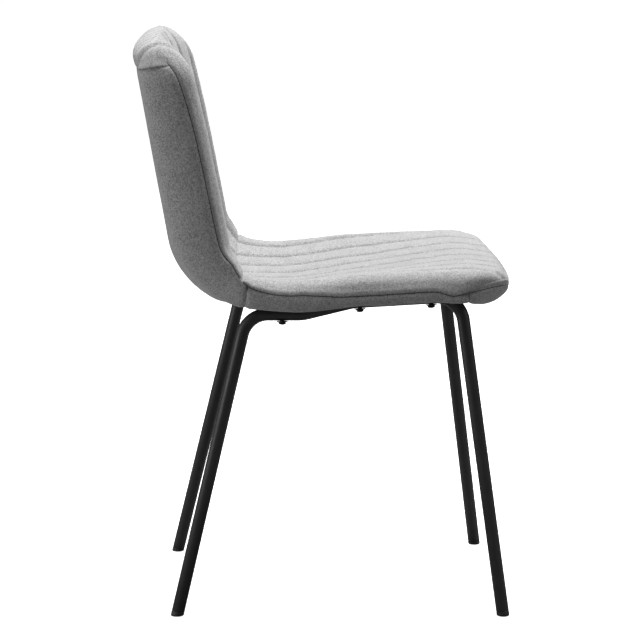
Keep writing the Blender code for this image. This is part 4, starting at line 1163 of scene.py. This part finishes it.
def frame_x(y, z):
    """Half distance between the two leg frames, whose planes lean out towards the floor."""
    front = FRONT_Y + FRONT_FOOT_SETBACK
    wheelbase = OVERALL_DEPTH - FRONT_FOOT_SETBACK - REAR_FOOT_INSET
    toe = (REAR_FOOT_SPACING - FRONT_FOOT_SPACING) / 2 / wheelbase
    return FRONT_FOOT_SPACING / 2 + toe * (y - front) - tan(SPLAY) * z


def rail_height(y):
    """Height of a rail's centre where it bears on the body at y."""
    b = BODY.find(0, y)
    point, direction = BODY.at(b)
    x = frame_x(y, point.y - TUBE_RADIUS)
    along = direction.y / direction.x
    across = 2 * section_at(b).bowl * x / DISH_WIDTH**2
    surface = point.y + section_at(b).bowl * (x / DISH_WIDTH) ** 2 / direction.x
    return surface - (TUBE_RADIUS + GAP) * sqrt(1 + along**2 + across**2)


def frame_profile():
    """Centre line of a leg frame in (y, z), from the front foot to the rear foot."""
    bolts = [FRONT_Y + distance for distance in RAIL_BOLTS]
    heights = [rail_height(y) for y in bolts]
    slope = (heights[1] - heights[0]) / (bolts[1] - bolts[0])
    front_foot = Vector((FRONT_Y + FRONT_FOOT_SETBACK, 0.0))
    rear_foot = Vector((OVERALL_DEPTH / 2 - REAR_FOOT_INSET, 0.0))
    rise = (heights[0] + slope * (front_foot.x - bolts[0])) / (1 - slope * tan(FRONT_RAKE))
    front_corner = front_foot + Vector((tan(FRONT_RAKE), 1.0)) * rise
    rear_corner = rear_foot + Vector((-tan(REAR_RAKE), 1.0)) * heights[2]
    thigh_y = FRONT_Y + NOSE_SETBACK + NOSE_RUN + THIGH_RUN
    upper = Vector((thigh_y, heights[1] + slope * (thigh_y - bolts[1]) - RAIL_DIP))
    lower = Vector((thigh_y + POCKET_RUN, heights[2]))
    return Profile([front_foot, front_corner, upper, lower, rear_corner, rear_foot],
                   [LEG_BEND, RAIL_BEND, RAIL_BEND, LEG_BEND])


FRAME = frame_profile()


def frame_point(y, z, side):
    return Vector((side * frame_x(y, z), y, z))


def frame_direction(direction, side):
    start = frame_point(0.0, 0.0, side)
    return (frame_point(direction.x, direction.y, side) - start).normalized()


def turned_mesh(rings, start, axis, sides):
    """A closed turned form: rings of (radius, height) or (radius, height, facets that flatten it)."""
    turn = Vector((0, 0, 1)).rotation_difference(axis).to_matrix()
    points, loops, faces = [], [], []
    for ring in rings:
        radius, height = ring[:2]
        flats = ring[2] if len(ring) > 2 else 0
        if radius == 0:
            loops.append([len(points)])
            points.append(start + turn @ Vector((0, 0, height)))
            continue
        loops.append(list(range(len(points), len(points) + sides)))
        for k in range(sides):
            angle = 2 * pi * k / sides
            reach = radius
            if flats:
                reach = radius * cos(pi / flats) / cos((angle % (2 * pi / flats)) - pi / flats)
            points.append(start + turn @ Vector((reach * cos(angle), reach * sin(angle), height)))
    pairs = list(zip(loops, loops[1:]))
    if len(loops[0]) > 1:
        pairs.append((loops[-1], loops[0]))
    for low, high in pairs:
        for k in range(sides):
            corners = [low[k % len(low)], low[(k + 1) % len(low)], high[(k + 1) % len(high)], high[k % len(high)]]
            faces.append(tuple(dict.fromkeys(corners)))
    return np.array([tuple(p) for p in points]), faces


def hard_edges(piece, angle=35):
    piece.data.set_sharp_from_angle(angle=radians(angle))


def leg_rings():
    """Rings of a leg tube, open at both ends: (distance along its centre line, radius)."""
    end = PLUG_COLLAR / cos(SPLAY)
    bends = []
    for k, (start, _, _, curvature) in enumerate(FRAME.pieces[1:], start=1):
        steps = 1
        if curvature:
            steps = max(4, round((FRAME.pieces[k + 1][0] - start) * abs(curvature) / BEND_STEP))
            bends += [start + (FRAME.pieces[k + 1][0] - start) * step / steps for step in range(1, steps)]
        bends.append(start)
    inner, depth = TUBE_RADIUS - TUBE_WALL, 0.012
    lip = [(depth, inner), (0.0, inner), (0.0, TUBE_RADIUS - 0.0005), (0.0004, TUBE_RADIUS - 0.0001)]
    return ([(end + inside, radius) for inside, radius in lip] + [(distance, TUBE_RADIUS) for distance in sorted(bends)]
            + [(FRAME.length - end - inside, radius) for inside, radius in lip[::-1]])


class CHAIR_OT_leg_frames(bpy.types.Operator):
    """Bend the two leg tubes"""
    bl_idname = "chair.leg_frames"
    bl_label = "Leg Frames"

    def execute(self, context):
        sides = context.scene.chair_sizes.tube_sides
        rings = leg_rings()
        for side, label in SIDES:
            square = frame_direction(Vector((1, 0)), side).cross(frame_direction(Vector((0, 1)), side)).normalized()
            points = []
            for distance, radius in rings:
                centre, direction = FRAME.at(distance)
                normal = square.cross(frame_direction(direction, side)).normalized()
                middle = frame_point(centre.x, centre.y, side)
                for angle in (2 * pi * k / sides for k in range(sides)):
                    points.append(tuple(middle + (square * cos(angle) + normal * sin(angle)) * radius))
            made = add_mesh(f"{label}_leg_tube", points, ring_faces(len(rings), sides), MATERIALS["coat"])
            hard_edges(made, 50)
            settle(made, "leg_powder_coat", f"{label}_leg_frame")
        return {"FINISHED"}


class CHAIR_OT_feet(bpy.types.Operator):
    """Make the four plastic foot plugs"""
    bl_idname = "chair.feet"
    bl_label = "Feet"

    def execute(self, context):
        sides = context.scene.chair_sizes.tube_sides
        collar = PLUG_COLLAR / cos(SPLAY) - PLUG_CLEARANCE
        spigot = TUBE_RADIUS - TUBE_WALL - PLUG_CLEARANCE
        # (radius, distance up the axis, share of the ring that lies level with the floor)
        rings = [(TUBE_RADIUS - narrower * PLUG_EASE, height * PLUG_EASE, 1.0) for narrower, height in PLUG_EDGE]
        rings += [(TUBE_RADIUS, collar - 0.0004, 0.0), (TUBE_RADIUS - 0.0004, collar, 0.0), (spigot, collar, 0.0),
                  (spigot, 0.014, 0.0)]
        for side, label in SIDES:
            for end in ("front", "rear"):
                centre, direction = FRAME.at(0.0 if end == "front" else FRAME.length)
                axis = frame_direction(direction, side) * (1 if end == "front" else -1)
                foot = frame_point(centre.x, centre.y, side)
                turn = Vector((0, 0, 1)).rotation_difference(axis).to_matrix()
                points = []
                for radius, height, level in rings:
                    for angle in (2 * pi * k / sides for k in range(sides)):
                        around = turn @ Vector((radius * cos(angle), radius * sin(angle), 0.0))
                        points.append(tuple(foot + axis * height + around - axis * (around.z / axis.z) * level))
                made = add_mesh(f"{end}_{label}_foot", points, ring_faces(len(rings), sides), MATERIALS["plastic"])
                hard_edges(made, 40)
                settle(made, "foot_plastic", f"{end}_{label}_foot_plug")
        return {"FINISHED"}


def washer_rings(radius, height):
    """A flat ring with eased edges, as rings of (radius, height)."""
    low, high = WASHER_EASE, height - WASHER_EASE
    bore, rim = WASHER_BORE + WASHER_EASE, radius - WASHER_EASE
    return [(WASHER_BORE, low), (bore, 0), (rim, 0), (radius, low), (radius, high), (rim, height), (bore, height),
            (WASHER_BORE, high)]


class CHAIR_OT_bolts(bpy.types.Operator):
    """Make the bolts and washers under the seat"""
    bl_idname = "chair.bolts"
    bl_label = "Bolts and Washers"

    def execute(self, context):
        high, wide = BOLT_HEAD, BOLT_HEAD_RADIUS
        dome = [(wide * sin(radians(turn)), -high * (0.18 + 0.82 * cos(radians(turn))))
                for turn in (32, 45, 58, 70, 80, 90)]
        head_rings = [(0, -0.4 * high), (0.0021, -0.4 * high, 6), (0.0021, -0.93 * high, 6), (0.0023, -0.96 * high),
                      *dome, (wide - WASHER_EASE, 0), (0.003, 0), (0.003, 0.012), (0, 0.012)]
        for side, label in SIDES:
            for number, offset in enumerate(RAIL_BOLTS, start=1):
                centre, direction = FRAME.at(FRAME.find(0, FRONT_Y + offset))
                axis = frame_direction(Vector((-direction.y, direction.x)), side)
                washer = frame_point(centre.x, centre.y, side) - axis * (TUBE_RADIUS + GAP + WASHER)
                lock = washer - axis * (LOCK + PLUG_CLEARANCE)
                head = lock - axis * PLUG_CLEARANCE
                for name, node_name, rings, start, facets in (
                        ("washer", "flat_washer", washer_rings(WASHER_RADIUS, WASHER), washer, 32),
                        ("spring_washer", "lock_washer", washer_rings(LOCK_RADIUS, LOCK), lock, 32),
                        ("bolt_head", "bolt", head_rings, head, 36)):
                    made = add_mesh(f"{name}_{label}_{number}", *turned_mesh(rings, start, axis, facets),
                                    MATERIALS["steel"])
                    hard_edges(made)
                    settle(made, "bolt_black_steel", f"{node_name}_{label}_{number}")
        return {"FINISHED"}


class CHAIR_OT_hidden_parts(bpy.types.Operator):
    """Finish the shell and the tee nuts inside the upholstery"""
    bl_idname = "chair.hidden_parts"
    bl_label = "Shell and Nuts"

    def execute(self, context):
        for name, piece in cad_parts.items():
            if name == "plywood_shell":
                material, slot = MATERIALS["wood"], "birch_plywood"
            elif name.startswith("tee_nut"):
                material, slot = MATERIALS["zinc"], "zinc_plate"
            else:
                continue
            piece.data.materials.clear()
            piece.data.materials.append(material)
        return {"FINISHED"}


# ---------------------------------------------------------------- stage
CAMERA_PLACE = Vector((-3.9690, 0.1841, 1.0717))
CAMERA_TILT, CAMERA_TURN = 0.17133, 0.04662
CAMERA_LENS = 158.12
FLOOR_REACH, FLOOR_DROP = 60.0, 0.0003


def add_light(name, power, size, position, target):
    data = bpy.data.lights.new(name, "AREA")
    data.shape, data.size, data.size_y = "RECTANGLE", size[0], size[1]
    data.energy = power
    lamp = bpy.data.objects.new(name, data)
    bpy.context.scene.collection.objects.link(lamp)
    lamp.location = position
    lamp.rotation_euler = (Vector(target) - Vector(position)).to_track_quat("-Z", "Y").to_euler()


def floor_material(colour):
    material = bpy.data.materials.new("pale studio floor")
    material.use_nodes = True
    tree = material.node_tree
    shader = tree.nodes["Principled BSDF"]
    tone = node(tree, "ShaderNodeMapRange", Value=noise_texture(tree, own_coordinates(tree), 2.0, 3.0), To_Min=0.985)
    mix = node(tree, "ShaderNodeMix", {"data_type": "RGBA", "blend_type": "MULTIPLY"}, _0=1.0, _6=tuple(colour),
               _7=tone.outputs[0])
    tree.links.new(mix.outputs[2], shader.inputs["Base Color"])
    shader.inputs["Roughness"].default_value = 0.85
    shader.inputs["Specular IOR Level"].default_value = 0.1
    shader.inputs["Emission Color"].default_value = (1.0, 1.0, 1.0, 1.0)
    shader.inputs["Emission Strength"].default_value = 0.92
    dim = node(tree, "ShaderNodeBsdfDiffuse", Color=(0.22, 0.22, 0.22, 1.0))
    seen = node(tree, "ShaderNodeLightPath").outputs["Is Camera Ray"]
    both = node(tree, "ShaderNodeMixShader", _0=seen, _1=dim.outputs[0], _2=shader.outputs[0])
    tree.links.new(both.outputs[0], tree.nodes["Material Output"].inputs["Surface"])
    return material


class CHAIR_OT_stage(bpy.types.Operator):
    """Set the floor, the lights and the camera"""
    bl_idname = "chair.stage"
    bl_label = "Stage"

    def execute(self, context):
        scene = context.scene
        colours, settings = scene.chair_colours, scene.chair_stage
        points = [(x * FLOOR_REACH, y * FLOOR_REACH, -FLOOR_DROP) for x, y in ((-1, -1), (1, -1), (1, 1), (-1, 1))]
        floor = add_mesh("studio_floor", points, [(0, 1, 2, 3)], floor_material(colours.floor), tidy=False)
        add_light("top_light", settings.top_light, (2.2, 2.4), (0.8, -0.35, 2.8), (0.0, 0.0, 0.4))
        add_light("front_light", settings.front_light, (1.8, 1.8), (-0.9, -2.8, 1.7), (0.0, 0.0, 0.45))
        add_light("rear_light", settings.rear_light, (1.2, 1.8), (-0.75, 2.8, 0.9), (0.0, 0.1, 0.5))
        world = bpy.data.worlds.new("studio")
        scene.world = world
        world.use_nodes = True
        background = world.node_tree.nodes["Background"]
        background.inputs["Color"].default_value = (1.0, 1.0, 1.0, 1.0)
        seen = node(world.node_tree, "ShaderNodeLightPath").outputs["Is Camera Ray"]
        strength = node(world.node_tree, "ShaderNodeMapRange", Value=seen, To_Min=settings.surround, To_Max=1.0)
        world.node_tree.links.new(strength.outputs[0], background.inputs["Strength"])
        camera_data = bpy.data.cameras.new("camera")
        camera_data.lens, camera_data.sensor_width = CAMERA_LENS, 36.0
        camera_data.clip_end = 60.0
        camera = bpy.data.objects.new("camera", camera_data)
        scene.collection.objects.link(camera)
        forward = Vector((cos(CAMERA_TILT) * cos(CAMERA_TURN), -cos(CAMERA_TILT) * sin(CAMERA_TURN), -sin(CAMERA_TILT)))
        right = Vector((-sin(CAMERA_TURN), -cos(CAMERA_TURN), 0.0))
        up = right.cross(forward)
        turn = Matrix((right, up, -forward)).transposed().to_4x4()
        camera.matrix_world = Matrix.Translation(CAMERA_PLACE) @ turn
        scene.camera = camera
        scene.view_settings.view_transform = "Standard"
        scene.view_settings.look = "None"
        return {"FINISHED"}


# ---------------------------------------------------------------- panel, registration and main
STEPS = (CHAIR_OT_materials, CHAIR_OT_seat_cushion, CHAIR_OT_back_cushion, CHAIR_OT_bands, CHAIR_OT_outside_back,
         CHAIR_OT_under_cover, CHAIR_OT_stitching, CHAIR_OT_leg_frames, CHAIR_OT_feet, CHAIR_OT_bolts,
         CHAIR_OT_hidden_parts, CHAIR_OT_stage)


class CHAIR_PT_sidebar(bpy.types.Panel):
    """Sizes, colours and steps of the chair"""
    bl_idname = "CHAIR_PT_sidebar"
    bl_label = "Dining Chair"
    bl_space_type = "VIEW_3D"
    bl_region_type = "UI"
    bl_category = "Chair"

    def draw(self, context):
        layout = self.layout
        for step in STEPS:
            layout.operator(step.bl_idname)
        for settings in (context.scene.chair_sizes, context.scene.chair_colours, context.scene.chair_stage):
            box = layout.box()
            for name in settings.__annotations__:
                box.prop(settings, name)


CLASSES = (ChairSizes, ChairColours, StageSettings, *STEPS, CHAIR_PT_sidebar)


def register():
    for entry in CLASSES:
        bpy.utils.register_class(entry)
    bpy.types.Scene.chair_sizes = PointerProperty(type=ChairSizes)
    bpy.types.Scene.chair_colours = PointerProperty(type=ChairColours)
    bpy.types.Scene.chair_stage = PointerProperty(type=StageSettings)


def unregister():
    del bpy.types.Scene.chair_stage
    del bpy.types.Scene.chair_colours
    del bpy.types.Scene.chair_sizes
    for entry in reversed(CLASSES):
        bpy.utils.unregister_class(entry)


def main():
    register()
    for step in STEPS:
        getattr(bpy.ops.chair, step.bl_idname.split(".")[1])()


if __name__ == "__main__":
    main()
